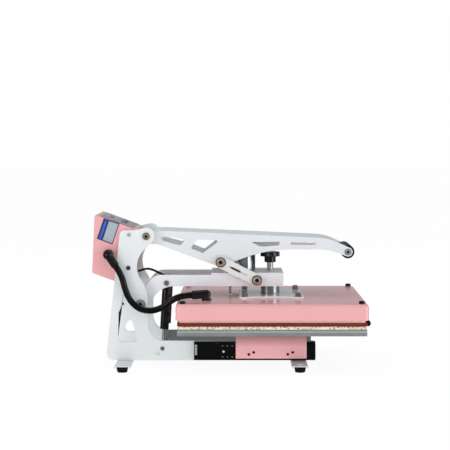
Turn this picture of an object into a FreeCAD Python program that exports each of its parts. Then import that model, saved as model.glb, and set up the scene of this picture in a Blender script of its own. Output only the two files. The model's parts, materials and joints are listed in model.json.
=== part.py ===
import FreeCAD, Part
import math
import os

# Auto-open heat press: a hinged arm carries the heated head, a pull-down handle closes it
# through two side links, and the lower platen slides out to the front.
# Millimetres. The origin is under the middle of the press at table height, +X points to the
# front where the operator stands and +Z up. Left and right are the operator's: left is -Y.

V = FreeCAD.Vector

# Feet, cross bars and side plates
foot_height = 12.0
foot_radius = 12.8
foot_taper = 3.0
foot_inset = 14.0
bar_width = 33.0
bar_sheet = 1.5
bar_depth = 5.0
bar_length = 344.0
foot_screw_radius = 2.0
foot_screw_head = 4.0
foot_screw_head_height = 2.4
foot_screw_reach = 6.5
bar_rear_setback = 39.7
bar_front_setback = 34.5
side_gap = 170.0
side_sheet = 5.0
deck_height = 40.8
deck_overhang = 91.5
post_depth = 88.0
tie_rod_radius = 8.0
spreader_height = 36.0
spreader_sheet = 8.0

# Drawer slides and the lower platen
slide_height = 37.1
slide_length = 250.5
slide_depth = 13.0
slide_sheet = 1.5
slide_play = 0.4
slide_rise = 2.3
bracket_setback = 73.1
bracket_length = 145.8
bracket_sheet = 3.0
bracket_flange = 30.0
bracket_low_inset = 3.8
platen_screw_radius = 2.0
platen_screw_setback = 25.0
platen_screw_inset = 15.0
platen_screw_reach = 7.5
platen_size = 381.0
platen_above_deck = 22.1
lower_platen_height = 12.4
pad_height = 7.2
pad_inset = 1.5
pull_radius = 6.25
pull_length = 64.0
pull_reach = 21.6

# Heated head, from the pressing face up
press_x = 80.5
closed_gap = 0.3
coated_height = 6.4
heat_platen_height = 9.5
heat_platen_inset = 3.5
cover_overhang = 3.2
cover_lift = 5.3
cover_height = 32.5
cover_sheet = 1.5
cover_corner = 10.0
cover_edge = 7.0
element_radius = 4.0
insulation_height = 16.0
bridge_length = 134.6
bridge_width = 176.0
bridge_shift = 1.2
bridge_corner = 8.0
bridge_scoop_length = 116.0
bridge_scoop_depth = 15.0
bridge_sheet = 3.5
stud_spread = 55.3
stud_row = 78.0
stud_radius = 4.0
stud_height = 8.9
stud_nut_radius = 6.4
stud_nut_height = 7.5
cup_radius = 20.0
cup_height = 28.0
screw_radius = 7.0
screw_foot_radius = 12.0
knob_radius = 20.5
knob_height = 10.0
knob_rise = 29.0
head_travel = 4.0

# Arm that carries the head
arm_clearance = 20.4
arm_height = 23.6
arm_outer_gap = 132.0
arm_sheet = 5.0
arm_cap_sheet = 4.0
arm_pivot_setback = 76.8
arm_pivot_drop = 34.7
arm_pivot_radius = 8.0
arm_pivot_head_radius = 9.5
arm_spacer_radius = 12.0
arm_boss_radius = 16.0
arm_tube_radius = 16.0
arm_nose = 26.5
magnet_radius = 25.0
magnet_height = 34.0
magnet_setback = 56.7
link_boss_radius = 9.0

# Handle, its links and the grip
handle_outer_gap = 136.0
handle_sheet = 4.0
handle_pivot_rise = 140.3
handle_pivot_step = 11.8
handle_pivot_radius = 6.0
handle_pivot_head_radius = 7.5
handle_spacer_radius = 9.0
plate_boss_radius = 17.5
handle_tube_radius = 11.0
link_setback = 29.0
link_pin_height = 13.4
link_length = 84.34
link_slope = 153.53
link_half_width = 12.25
link_sheet = 6.0
link_bolt_radius = 5.0
link_head_radius = 7.5
link_washer_radius = 10.5
link_washer_sheet = 2.0
link_slot_start = 26.5
link_slot_end = 47.0
link_slot_half = 2.2
link_spacing = 4.0
grip_reach = 161.0
grip_drop = 34.0
grip_radius = 14.0
grip_tube_radius = 8.0
armature_height = 8.0

# Gas springs between the arm and the base
spring_offset = 50.0
spring_top_reach = 53.0
spring_top_height = 6.9
spring_low_setback = 7.3
spring_low_drop = 16.4
spring_radius = 9.0
spring_tube_length = 85.6
spring_rod_radius = 4.0
spring_pin_radius = 4.0
spring_slack = 2.6

# Control box between the tops of the side plates
box_sheet = 1.5
box_side_gap = 0.3
panel_length = 72.0
panel_width = 150.0
panel_sheet = 1.2
button_radius = 6.0
button_travel = 1.2
window_length = 26.0
window_width = 60.0

# Cables
conduit_diameter = 13.0
wire_diameter = 4.6

# Fits
running_fit = 0.05
side_play = 0.3
merge_tolerance = 1e-6

# Heights of the stack, from the table to the top of the arm
bar_top = foot_height + bar_sheet
deck_top = bar_top + deck_height
platen_bottom = deck_top + platen_above_deck
platen_top = platen_bottom + lower_platen_height
pad_top = platen_top + pad_height
face_bottom = pad_top + closed_gap
face_top = face_bottom + coated_height
heat_platen_top = face_top + heat_platen_height
cover_bottom = face_top + cover_lift
cover_top = cover_bottom + cover_height
bridge_top = cover_top + bridge_sheet
arm_bottom = bridge_top + arm_clearance
arm_top = arm_bottom + arm_height
arm_cap_top = arm_top + arm_cap_sheet
magnet_top = arm_cap_top + magnet_height

# Pivots in the side view, as (x, z)
cover_half = platen_size / 2 + cover_overhang
head_rear = press_x - cover_half
arm_pivot = (head_rear - arm_pivot_setback, arm_bottom - arm_pivot_drop)
handle_pivot = (arm_pivot[0] + handle_pivot_step, arm_pivot[1] + handle_pivot_rise)
link_low = (press_x - link_setback, arm_bottom + link_pin_height)
link_high = (
    link_low[0] + link_length * math.cos(math.radians(link_slope)),
    link_low[1] + link_length * math.sin(math.radians(link_slope)),
)
spring_top = (arm_pivot[0] + spring_top_reach, arm_bottom + spring_top_height)
spring_low = (spring_top[0] - spring_low_setback, deck_top - spring_low_drop)
grip = (press_x + grip_reach, handle_pivot[1] - grip_drop)
magnet_x = press_x - magnet_setback

# Layers outwards from the middle plane
foot_offset = bar_length / 2 - foot_inset
side_inner = side_gap / 2
side_outer = side_inner + side_sheet
arm_outer = arm_outer_gap / 2
arm_inner = arm_outer - arm_sheet
handle_outer = handle_outer_gap / 2
handle_inner = handle_outer - handle_sheet
link_inner = handle_outer + link_spacing
link_outer = link_inner + link_sheet
box_half = side_inner - box_side_gap

# Lengths along the base
post_front = arm_pivot[0] + 16.5
post_rear = post_front - post_depth
deck_front = press_x + deck_overhang
bar_rear_x = post_rear + bar_rear_setback
bar_front_x = deck_front - bar_front_setback
slide_front = deck_front - 0.2
slide_rear = slide_front - slide_length
slide_middle = bar_top + slide_rise + slide_height / 2

PLANES = {
    "xz": (lambda u, v, level: V(u, level, v), V(0, 1, 0)),
    "xy": (lambda u, v, level: V(u, v, level), V(0, 0, 1)),
    "yz": (lambda u, v, level: V(level, u, v), V(1, 0, 0)),
}
SIDES = {"left": -1, "right": 1}


def unit(x, y):
    length = math.hypot(x, y)
    return (x / length, y / length)


# A closed wire through corners given as (u, v, rounding)
def outline(corners, plane, level):
    count = len(corners)
    legs, lengths, halves = [], [], []
    for here, after in zip(corners, corners[1:] + corners[:1]):
        lengths.append(math.hypot(after[0] - here[0], after[1] - here[1]))
        legs.append(unit(after[0] - here[0], after[1] - here[1]))
    for index in range(count):
        before, after = legs[index - 1], legs[index]
        cross = before[0] * after[1] - before[1] * after[0]
        dot = before[0] * after[0] + before[1] * after[1]
        halves.append(abs(math.atan2(cross, dot)) / 2)
    setbacks = [corner[2] * math.tan(half) for corner, half in zip(corners, halves)]
    for index in range(count):
        after = (index + 1) % count
        used = setbacks[index] + setbacks[after]
        if used > lengths[index]:
            setbacks[index] *= lengths[index] / used
            setbacks[after] *= lengths[index] / used
    place = PLANES[plane][0]
    starts, ends, edges = [], [], []
    for corner, before, after, back in zip(corners, legs[-1:] + legs[:-1], legs, setbacks):
        starts.append((corner[0] - before[0] * back, corner[1] - before[1] * back))
        ends.append((corner[0] + after[0] * back, corner[1] + after[1] * back))
    for index in range(count):
        start, end = starts[index], ends[index]
        if setbacks[index] > merge_tolerance:
            before, after, half = legs[index - 1], legs[index], halves[index]
            inward = unit(after[0] - before[0], after[1] - before[1])
            dip = setbacks[index] * (1 / math.cos(half) - 1) / math.tan(half)
            top = (corners[index][0] + inward[0] * dip, corners[index][1] + inward[1] * dip)
            edges.append(Part.Arc(place(*start, level), place(*top, level), place(*end, level)).toShape())
        following = starts[(index + 1) % count]
        if math.hypot(following[0] - end[0], following[1] - end[1]) > merge_tolerance * 100:
            edges.append(Part.LineSegment(place(*end, level), place(*following, level)).toShape())
    return Part.Wire(Part.__sortEdges__(edges))


# A prism through an outline, between two levels of the plane's own direction
def prism(corners, plane, low, high):
    low, high = min(low, high), max(low, high)
    return Part.Face(outline(corners, plane, low)).extrude(PLANES[plane][1] * (high - low))


# Corners of a round end about a centre, from one outward angle to another
def around(centre, radius, first, last):
    steps = max(1, math.ceil((last - first) / 80.0))
    step = (last - first) / steps
    reach = radius / math.cos(math.radians(step / 2))
    turns = [math.radians(first + step * (index + 0.5)) for index in range(steps)]
    return [(centre[0] + reach * math.cos(a), centre[1] + reach * math.sin(a), radius) for a in turns]


# The outward angle at which a straight edge from a point touches a round end
def touch_angle(centre, radius, point, turn):
    across, up = point[0] - centre[0], point[1] - centre[1]
    reach = math.degrees(math.acos(radius / math.hypot(across, up)))
    return math.degrees(math.atan2(up, across)) + turn * reach


# The same corners drawn in by a wall
def inset(corners, wall):
    result = []
    for before, here, after in zip(corners[-1:] + corners[:-1], corners, corners[1:] + corners[:1]):
        arrive = unit(here[0] - before[0], here[1] - before[1])
        leave = unit(after[0] - here[0], after[1] - here[1])
        spread = 1 + arrive[0] * leave[0] + arrive[1] * leave[1]
        shift_u = -(arrive[1] + leave[1]) * wall / spread
        shift_v = (arrive[0] + leave[0]) * wall / spread
        convex = arrive[0] * leave[1] - arrive[1] * leave[0] > 0
        rounding = max(here[2] - wall, 0.0) if convex else here[2] + wall
        result.append((here[0] + shift_u, here[1] + shift_v, rounding))
    return result


def rectangle(u0, u1, v0, v1, rounding=0.0):
    return [(u0, v0, rounding), (u1, v0, rounding), (u1, v1, rounding), (u0, v1, rounding)]


def block(x0, x1, y0, y1, z0, z1):
    return Part.makeBox(x1 - x0, y1 - y0, z1 - z0, V(x0, y0, z0))


def upright(x, y, radius, z0, z1):
    return Part.makeCylinder(radius, z1 - z0, V(x, y, z0))


def axle(centre, radius, y0, y1):
    low = min(y0, y1)
    return Part.makeCylinder(radius, abs(y1 - y0), V(centre[0], low, centre[1]), V(0, 1, 0))


def bar_along_x(y, z, radius, x0, x1):
    return Part.makeCylinder(radius, x1 - x0, V(x0, y, z), V(1, 0, 0))


# Stands a shape made along +Z at the origin on a base point, along a direction
def stand(shape, base, direction):
    placed = shape.copy()
    placed.Placement = FreeCAD.Placement(V(*base), FreeCAD.Rotation(V(0, 0, 1), V(*direction)))
    return placed


# Leans a shape about the Y axis at the origin, then moves it to (x, z)
def lean(shape, place, angle):
    placed = shape.copy()
    placed.Placement = FreeCAD.Placement(V(place[0], 0, place[1]), FreeCAD.Rotation(V(0, 1, 0), angle))
    return placed


def hexagon(radius, z0, z1):
    points = [V(radius * math.cos(math.radians(60 * k)), radius * math.sin(math.radians(60 * k)), z0)
              for k in range(7)]
    return Part.Face(Part.makePolygon(points)).extrude(V(0, 0, z1 - z0))


# A socket head with a chamfered rim, standing on z = 0
def socket_head(radius, height):
    blank = upright(0, 0, radius, 0, height)
    rims = [edge for edge in blank.Edges if abs(edge.BoundBox.ZMin - height) < 1e-4
            and abs(edge.BoundBox.ZMax - height) < 1e-4]
    blank = blank.makeChamfer(min(0.16 * radius, 0.3 * height), rims)
    return blank.cut(hexagon(0.45 * radius, 0.45 * height, height + 1))


def bolt_head(centre, face, side, radius, height):
    return stand(socket_head(radius, height), (centre[0], side * face, centre[1]), (0, side, 0))


def ring(centre, outer, bore, y0, y1):
    return axle(centre, outer, y0, y1).cut(axle(centre, bore, min(y0, y1) - 1, max(y0, y1) + 1))


def both(make):
    return [make(side) for side in SIDES.values()]


def joined(shapes):
    whole = shapes[0].fuse(shapes[1:])
    return whole.removeSplitter()


# Straight runs joined by tangent arcs, each as large as its two runs allow
def rounded_path(points):
    points = [V(*point) for point in points]
    edges, radii, here = [], [], points[0]
    for before, corner, after in zip(points, points[1:], points[2:]):
        arrive, leave = corner - before, after - corner
        shorter = min(arrive.Length, leave.Length)
        half = arrive.getAngle(leave) / 2
        back = 0.45 * shorter
        radius = back / math.tan(half)
        arrive.normalize()
        leave.normalize()
        inward = leave - arrive
        inward.normalize()
        start, end = corner - arrive * back, corner + leave * back
        top = corner + inward * (radius / math.cos(half) - radius)
        edges.append(Part.LineSegment(here, start).toShape())
        edges.append(Part.Arc(start, top, end).toShape())
        radii.append(radius)
        here = end
    edges.append(Part.LineSegment(here, points[-1]).toShape())
    return Part.Wire(edges), radii


def cable(name, points, diameter):
    path, radii = rounded_path(points)
    first = V(*points[1]) - V(*points[0])
    profile = Part.Wire(Part.makeCircle(diameter / 2, V(*points[0]), first))
    tube = path.makePipeShell([profile], True, False)
    expected = math.pi * diameter ** 2 / 4 * path.Length
    print(name, "length %.1f, volume ratio %.4f" % (path.Length, tube.Volume / expected))
    print(name, "radii", ", ".join("%.0f" % radius for radius in radii))
    return [tube]


# Where the side plates are bolted: centre, head radius, shank radius, reach behind the plate
box_bolt_high = (handle_pivot[0] - 35.6, handle_pivot[1] + 2.9)
box_bolt_low = (handle_pivot[0] - 36.6, handle_pivot[1] - 65.4)
spreader_high = (arm_pivot[0] - 36.2, arm_pivot[1] + 0.4)
spreader_low = (arm_pivot[0] - 42.8, arm_pivot[1] - 18.2)
plain_bolt = (spring_low[0] - 10.1, deck_top - 28.6)
tie_rod_place = (deck_front - 21.0, bar_top + deck_height / 2)
plate_bolts = [
    (box_bolt_high, 4.0, 2.0, 4.0),
    (box_bolt_low, 4.5, 2.0, 4.0),
    (spreader_high, 2.25, 1.25, 9.0),
    (spreader_low, 2.25, 1.25, 9.0),
    (plain_bolt, 3.5, 2.0, 4.0),
]
bolt_head_height = 3.0
pivot_head_height = 5.0


def side_plate(side):
    throat = (handle_pivot[0] - 34.5, handle_pivot[1] - 56.3)
    dip = (handle_pivot[0] - 24.8, handle_pivot[1] + 12.7)
    corners = [
        (post_rear, bar_top, 15),
        (deck_front, bar_top, 3),
        (deck_front, deck_top, 5),
        (post_front, deck_top, 32),
        (post_front, arm_pivot[1] + 28.0, 83.5),
        (*throat, 50),
    ]
    corners += around(handle_pivot, plate_boss_radius,
                      touch_angle(handle_pivot, plate_boss_radius, throat, 1),
                      touch_angle(handle_pivot, plate_boss_radius, dip, -1))
    corners += [(*dip, 30), (handle_pivot[0] - 54.0, handle_pivot[1] + 12.3, 9)]
    window = [
        (arm_pivot[0] - 19.5, arm_pivot[1] - 26.7, 5),
        (arm_pivot[0] - 53.0, deck_top - 3.0, 9),
        (arm_pivot[0] - 4.0, deck_top - 3.0, 8),
    ]
    inner, outer = side * side_inner, side * side_outer
    plate = prism(corners, "xz", inner, outer)
    holes = [prism(window, "xz", side * (side_inner - 1), side * (side_outer + 1))]
    bores = [
        (arm_pivot, arm_pivot_radius),
        (handle_pivot, handle_pivot_radius),
        (spring_low, spring_pin_radius),
        (tie_rod_place, tie_rod_radius / 2),
    ]
    bores += [(centre, shank) for centre, head, shank, reach in plate_bolts]
    for centre, radius in bores:
        holes.append(axle(centre, radius + running_fit, side * (side_inner - 1), side * (side_outer + 1)))
    return [plate.cut(holes)]


def foot_places(x):
    return [(x, side * foot_offset) for side in SIDES.values()]


# An inverted channel under both side plates
def cross_bar(x):
    half = bar_width / 2
    top, low = bar_top, foot_height - bar_depth + bar_sheet
    section = [
        (x - half, low, 0), (x - half + bar_sheet, low, 0),
        (x - half + bar_sheet, top - bar_sheet, 1), (x + half - bar_sheet, top - bar_sheet, 1),
        (x + half - bar_sheet, low, 0), (x + half, low, 0),
        (x + half, top, 3.0), (x - half, top, 3.0),
    ]
    bar = prism(section, "xz", -bar_length / 2, bar_length / 2)
    holes = [upright(px, py, foot_screw_radius + running_fit, low, top + 1) for px, py in foot_places(x)]
    return [bar.cut(holes)]


def rubber_feet():
    feet = []
    for x in (bar_rear_x, bar_front_x):
        for px, py in foot_places(x):
            foot = Part.makeCone(foot_radius - foot_taper, foot_radius, foot_height, V(px, py, 0))
            feet.append(foot.cut(upright(px, py, foot_screw_radius + running_fit,
                                         foot_height - foot_screw_reach - 0.5, foot_height + 1)))
    return feet


def frame_screws():
    screws = []
    for centre, head, shank, reach in plate_bolts:
        for side in SIDES.values():
            cap = bolt_head(centre, side_outer, side, head, min(bolt_head_height, head))
            stem = axle(centre, shank, side * (side_inner - reach), side * side_outer)
            screws.append(cap.fuse(stem))
    for x in (bar_rear_x, bar_front_x):
        for px, py in foot_places(x):
            cap = stand(socket_head(foot_screw_head, foot_screw_head_height), (px, py, bar_top), (0, 0, 1))
            stem = upright(px, py, foot_screw_radius, foot_height - foot_screw_reach, bar_top)
            screws.append(cap.fuse(stem))
    return screws


plain_nut_radius = 4.5
plain_nut_bore = 2.0
plain_nut_height = 3.5


def plain_bolt_nuts():
    bore = plain_nut_bore + running_fit
    low = side_inner - plain_nut_height
    return both(lambda side: ring(plain_bolt, plain_nut_radius, bore, side * low, side * side_inner))


# A flat bar between the rear edges of the side plates
def rear_spreader():
    run = unit(spreader_high[0] - spreader_low[0], spreader_high[1] - spreader_low[1])
    middle = ((spreader_high[0] + spreader_low[0]) / 2, (spreader_high[1] + spreader_low[1]) / 2)
    corners = []
    for along, across in ((-1, 1), (-1, -1), (1, -1), (1, 1)):
        u = middle[0] + along * run[0] * spreader_height / 2 - across * run[1] * spreader_sheet / 2
        v = middle[1] + along * run[1] * spreader_height / 2 + across * run[0] * spreader_sheet / 2
        corners.append((u, v, 1.0))
    bar = prism(corners, "xz", -side_inner, side_inner)
    taps = []
    for centre in (spreader_high, spreader_low):
        for side in SIDES.values():
            taps.append(axle(centre, 1.25 + running_fit, side * (side_inner - 9.5), side * (side_inner + 1)))
    return [bar.cut(taps)]


def tie_rod():
    return [joined([axle(tie_rod_place, tie_rod_radius, -side_inner, side_inner),
                    axle(tie_rod_place, tie_rod_radius / 2, -side_outer, side_outer)])]


def handle_pivot_shaft():
    parts = [axle(handle_pivot, handle_pivot_radius, -side_outer, side_outer)]
    head = handle_pivot_head_radius
    parts += both(lambda side: bolt_head(handle_pivot, side_outer, side, head, pivot_head_height))
    return [joined(parts)]


def arm_pivot_shaft():
    parts = [axle(arm_pivot, arm_pivot_radius, -side_outer, side_outer)]
    head = arm_pivot_head_radius
    parts += both(lambda side: bolt_head(arm_pivot, side_outer, side, head, pivot_head_height))
    return [joined(parts)]


# Loose bushes that keep the handle and the arm in the middle of the side plates
def pivot_spacers():
    spacers = []
    for side in SIDES.values():
        for centre, outer, bore, start in (
            (handle_pivot, handle_spacer_radius, handle_pivot_radius, handle_outer),
            (arm_pivot, arm_spacer_radius, arm_pivot_radius, arm_outer),
        ):
            low, high = side * (start + side_play), side * (side_inner - side_play)
            spacers.append(ring(centre, outer, bore + running_fit, low, high))
    return spacers


def spring_lower_shaft():
    reach = side_outer + 1.5
    return [axle(spring_low, spring_pin_radius, -reach, reach)]


# Control box outline in the side view
box_rear_top = (handle_pivot[0] - 107.0, handle_pivot[1] + 45.0)
box_rear_low = (handle_pivot[0] - 112.2, handle_pivot[1] - 76.2)
box_front_low = (handle_pivot[0] - 30.8, handle_pivot[1] - 105.2)
box_front_bend = (handle_pivot[0] - 30.8, handle_pivot[1] - 8.0)
box_front_top = (handle_pivot[0] - 19.8, handle_pivot[1] + 13.0)
box_corners = [
    (*box_rear_low, 3), (*box_front_low, 3), (*box_front_bend, 4), (*box_front_top, 2), (*box_rear_top, 3),
]
panel_tilt = math.degrees(math.atan2(box_rear_top[1] - box_front_top[1], box_front_top[0] - box_rear_top[0]))
rear_tilt = -math.degrees(math.atan2(box_rear_top[1] - box_rear_low[1], box_rear_top[0] - box_rear_low[0]))
panel_start = 12.0
button_row = 60.0
button_places = {"menu_button": -30.0, "down_button": 0.0, "up_button": 30.0}
window_centre = 31.0
button_flange = 1.5
button_flange_sheet = 1.2
key_gap = 0.4
button_low = -box_sheet - side_play - button_flange_sheet
board_depth = 6.0
elbow_place = (handle_pivot[0] - 77.6, handle_pivot[1] - 37.1)
elbow_reach = 18.3
relay_y = -39.5
relay_width = 45.0
relay_depth = 25.0
relay_height = 55.0
relay_low = 37.0
relay_tab_inset = 12.0
relay_tab_sheet = 4.0
supply_y = 36.0
supply_width = 68.0
supply_depth = 28.0
supply_height = 64.0
supply_low = 18.0
grommet_place = (box_front_low[0], -35.0, box_front_low[1] + 28.7)
inlet_place = (37.0, 46.0)
inlet_width, inlet_height = 27.0, 47.0


def on_panel(shape):
    return lean(shape, box_rear_top, panel_tilt)


def on_rear(shape):
    return lean(shape, box_rear_low, rear_tilt)


def control_box_shell():
    half = box_half - box_sheet
    outer = prism(box_corners, "xz", -half, half)
    inner = prism(inset(box_corners, box_sheet), "xz", -half - 1, half + 1)
    cuts = [inner]
    low, high = window_centre - window_length / 2 + 3, window_centre + window_length / 2 - 3
    cuts.append(on_panel(block(low, high, -window_width / 2 + 3, window_width / 2 - 3, -4, 2)))
    for y in button_places.values():
        cuts.append(on_panel(upright(button_row, y, button_radius + side_play, -4, 2)))
    along, across = inlet_place[1], inlet_place[0]
    opening = rectangle(along - inlet_height / 2, along + inlet_height / 2,
                        across - inlet_width / 2, across + inlet_width / 2, 2)
    cuts.append(on_rear(prism(inset(opening, -0.2), "xy", -4, 2)))
    x, y, z = grommet_place
    cuts.append(bar_along_x(y, z, 3.5 + running_fit, x - 4, x + 2))
    return [outer.cut(cuts)]


def control_box_side(side):
    inner, outer = side * (box_half - box_sheet), side * box_half
    cuts = [axle(box_bolt_high, 2.0 + running_fit, side * (box_half - 3), side * (box_half + 1)),
            axle(box_bolt_low, 2.0 + running_fit, side * (box_half - 3), side * (box_half + 1))]
    if side < 0:
        cuts.append(axle(elbow_place, gland_thread_radius + running_fit, -box_half - 1, -box_half + 3))
    return prism(box_corners, "xz", inner, outer).cut(cuts)


def control_panel():
    plate = prism(rectangle(panel_start, panel_start + panel_length, -panel_width / 2, panel_width / 2, 3),
                  "xy", 0, panel_sheet)
    low, high = window_centre - window_length / 2, window_centre + window_length / 2
    cuts = [block(low - 0.1, high + 0.1, -window_width / 2 - 0.1, window_width / 2 + 0.1, -1, 3)]
    cuts += [upright(button_row, y, button_radius + side_play, -1, 3) for y in button_places.values()]
    return [on_panel(plate.cut(cuts))]


def display_window():
    low, high = window_centre - window_length / 2, window_centre + window_length / 2
    pane = prism(rectangle(low, high, -window_width / 2, window_width / 2, 1), "xy", 0, panel_sheet + 0.3)
    return [on_panel(pane)]


def button(y):
    flange_top = -box_sheet - side_play
    cap = upright(button_row, y, button_radius, flange_top, panel_sheet + 2.0)
    rims = [edge for edge in cap.Edges if edge.BoundBox.ZMin > panel_sheet]
    cap = cap.makeFillet(1.0, rims)
    flange = upright(button_row, y, button_radius + button_flange, button_low, flange_top)
    return [on_panel(joined([cap, flange]))]


board_start = 16.0
board_end = 78.0
board_half = 65.0
board_sheet = 1.6
board_post_radius = 2.5
board_post_inset = (3.0, 5.0)
key_half = 3.0
display_half = (8.0, 24.0)
display_height = 3.8


def control_board():
    top = -board_depth
    board = block(board_start, board_end, -board_half, board_half, top - board_sheet, top)
    post_rows = (board_start + board_post_inset[0], board_end - board_post_inset[0])
    post_y = board_half - board_post_inset[1]
    posts = [upright(x, y, board_post_radius, top, -box_sheet) for x in post_rows for y in (-post_y, post_y)]
    key_top = button_low - button_travel - key_gap
    keys = [block(button_row - key_half, button_row + key_half, y - key_half, y + key_half, top, key_top)
            for y in button_places.values()]
    along, across = display_half
    display = block(window_centre - along, window_centre + along, -across, across, top, top + display_height)
    return [on_panel(joined([board, display] + posts + keys))]


# The switching relay and the magnet's supply, bolted behind the front wall of the box
def power_modules():
    wall = box_front_low[0] - box_sheet
    base = box_front_low[1]
    low, high = base + relay_low, base + relay_low + relay_height
    left, right = relay_y - relay_width / 2, relay_y + relay_width / 2
    relay = block(wall - relay_depth, wall, left, right, low, high)
    tab_half = relay_width / 2 - relay_tab_inset
    tab = block(wall - relay_tab_sheet, wall, relay_y - tab_half, relay_y + tab_half,
                low - relay_tab_sheet, high + relay_tab_sheet)
    supply = block(wall - supply_depth, wall, supply_y - supply_width / 2, supply_y + supply_width / 2,
                   base + supply_low, base + supply_low + supply_height)
    return [joined([relay, tab]), supply]


# Mains inlet and rocker housing in one module on the rear face
inlet_flange_half = (29.0, 25.0)
inlet_flange_sheet = 2.6
inlet_depth = 22.0
inlet_socket_depth = 14.0
inlet_socket_half = 12.3
inlet_socket_narrow = 8.5
inlet_screw_spread = 20.0
inlet_screw_hole = 1.8


def power_inlet():
    along, across = inlet_place[1], inlet_place[0]
    reach, half = inlet_flange_half
    flange = prism(rectangle(along - reach, along + reach, across - half, across + half, 6),
                   "xy", 0, inlet_flange_sheet)
    body = prism(rectangle(along - inlet_height / 2, along + inlet_height / 2,
                           across - inlet_width / 2, across + inlet_width / 2, 2), "xy", -inlet_depth, 0.5)
    housing = joined([flange, body])
    wide, narrow = inlet_socket_half, inlet_socket_narrow
    socket = [(along - 21.0, across - wide, 1), (along - 8.0, across - wide, 1),
              (along - 4.2, across - narrow, 1), (along - 4.2, across + narrow, 1),
              (along - 8.0, across + wide, 1), (along - 21.0, across + wide, 1)]
    cuts = [prism(socket, "xy", -inlet_socket_depth, 4), rocker_well()]
    cuts += [upright(along, across + side * inlet_screw_spread, inlet_screw_hole, -1, 4)
             for side in SIDES.values()]
    cuts.append(axle((rocker_centre[0], rocker_centre[1]), 1.5 + running_fit,
                     across - rocker_pin_reach - 0.2, across + rocker_pin_reach + 0.2))
    housing = housing.cut(cuts)
    pins = [block(along - 18.6, along - 16.6, across + y - 2.4, across + y + 2.4, -14.5, -2) for y in (-7, 7)]
    pins.append(block(along - 15.2, along - 13.2, across - 2.4, across + 2.4, -14.5, -2))
    return [on_rear(joined([housing] + pins))]


rocker_centre = (inlet_place[1] + 10.5, -1.0)
rocker_pin_reach = 11.0
rocker_rest = 12.0


def rocker_well():
    x = rocker_centre[0]
    return block(x - 10.8, x + 10.8, inlet_place[0] - 9.0, inlet_place[0] + 9.0, -9, 4)


# The rocker rests tilted to one side and turns to the other
def power_switch():
    section = [(-7.5, -3.5, 1), (7.5, -3.5, 1), (9.2, 4.4, 0.8), (0, 3.0, 8), (-9.2, 4.4, 0.8)]
    cap = prism(section, "xz", inlet_place[0] - 8.7, inlet_place[0] + 8.7)
    pins = axle((0, 0), 1.5, inlet_place[0] - rocker_pin_reach, inlet_place[0] + rocker_pin_reach)
    rocker = lean(joined([cap, pins]), (0, 0), rocker_rest)
    rocker.translate(V(rocker_centre[0], 0, rocker_centre[1]))
    carrier = Part.makeCompound([rocker])
    return [solid for solid in on_rear(carrier).Solids]


# Cable exits: an elbow gland on the left of the box and a grommet in its front wall
elbow_angle = -56.0
elbow_length = 27.9
elbow_axis = (math.cos(math.radians(elbow_angle)), math.sin(math.radians(elbow_angle)))
elbow_end = (elbow_place[0] + elbow_length * elbow_axis[0], elbow_place[1] + elbow_length * elbow_axis[1])
elbow_y = -box_half - elbow_reach
gland_radius = 10.3
gland_barrel_radius = 8.4
gland_nut_radius = 10.8
gland_nut_height = 5.3
gland_thread_radius = 7.0


def box_cable_glands():
    x, z = elbow_place
    thread = axle(elbow_place, gland_thread_radius, -box_half + 2.5, -box_half)
    nut = stand(hexagon(gland_nut_radius, 0, gland_nut_height), (x, -box_half, z), (0, -1, 0))
    neck = axle(elbow_place, gland_barrel_radius, elbow_y, -box_half - gland_nut_height)
    ball = Part.makeSphere(gland_radius, V(x, elbow_y, z))
    barrel = Part.makeCylinder(gland_barrel_radius, elbow_length, V(x, elbow_y, z),
                               V(elbow_axis[0], 0, elbow_axis[1]))
    elbow = joined([thread, nut, neck, ball, barrel])
    gx, gy, gz = grommet_place
    collar = bar_along_x(gy, gz, 5.0, gx, gx + 3.0)
    neck = bar_along_x(gy, gz, 3.5, gx - box_sheet, gx)
    return [elbow, joined([collar, neck])]


# Left side of the base: where the conduit leaves the box, bends under and climbs to the head
head_gland = (head_rear + 60.7, -117.0)
head_gland_height = 13.0
head_gland_reach = 29.8
head_gland_radius = 9.0
head_gland_stem = 8.0
head_gland_nut_radius = 10.0
head_gland_nut_height = 4.0
head_gland_lean = 4.0
head_gland_axis = (-math.cos(math.radians(head_gland_lean)), -math.sin(math.radians(head_gland_lean)))
head_gland_end = (
    head_gland[0] + head_gland_reach * head_gland_axis[0],
    cover_top + head_gland_height + head_gland_reach * head_gland_axis[1],
)
conduit_end_run = 22.0
conduit_route = [
    (elbow_end[0], elbow_y, elbow_end[1]),
    (elbow_end[0] + conduit_end_run * elbow_axis[0], elbow_y, elbow_end[1] + conduit_end_run * elbow_axis[1]),
    (-221.5, -103.6, 165.0),
    (-211.5, -104.6, 139.5),
    (-191.5, -106.0, 121.0),
    (-165.3, -108.0, 117.0),
    (-139.9, -111.0, 126.4),
    (-123.6, -114.2, 140.9),
    (head_gland_end[0] + conduit_end_run * head_gland_axis[0], head_gland[1],
     head_gland_end[1] + conduit_end_run * head_gland_axis[1]),
    (head_gland_end[0], head_gland[1], head_gland_end[1]),
]

# The magnet's lead runs from the box into the arm and under the arm's top plate
lead_gland = (magnet_x - 3.8, -18.0, arm_top - 7.0)
lead_gland_reach = 10.0
wire_route = [
    (grommet_place[0] + 3.0, grommet_place[1], grommet_place[2]),
    (grommet_place[0] + 13.0, grommet_place[1], grommet_place[2]),
    (-180.0, -35.1, 199.5),
    (-164.0, -35.3, 195.5),
    (-140.0, -35.6, 182.5),
    (-104.0, -35.0, 174.6),
    (-62.0, -32.0, 175.6),
    (-24.0, lead_gland[1], lead_gland[2]),
    (lead_gland[0] - lead_gland_reach, lead_gland[1], lead_gland[2]),
]


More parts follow.
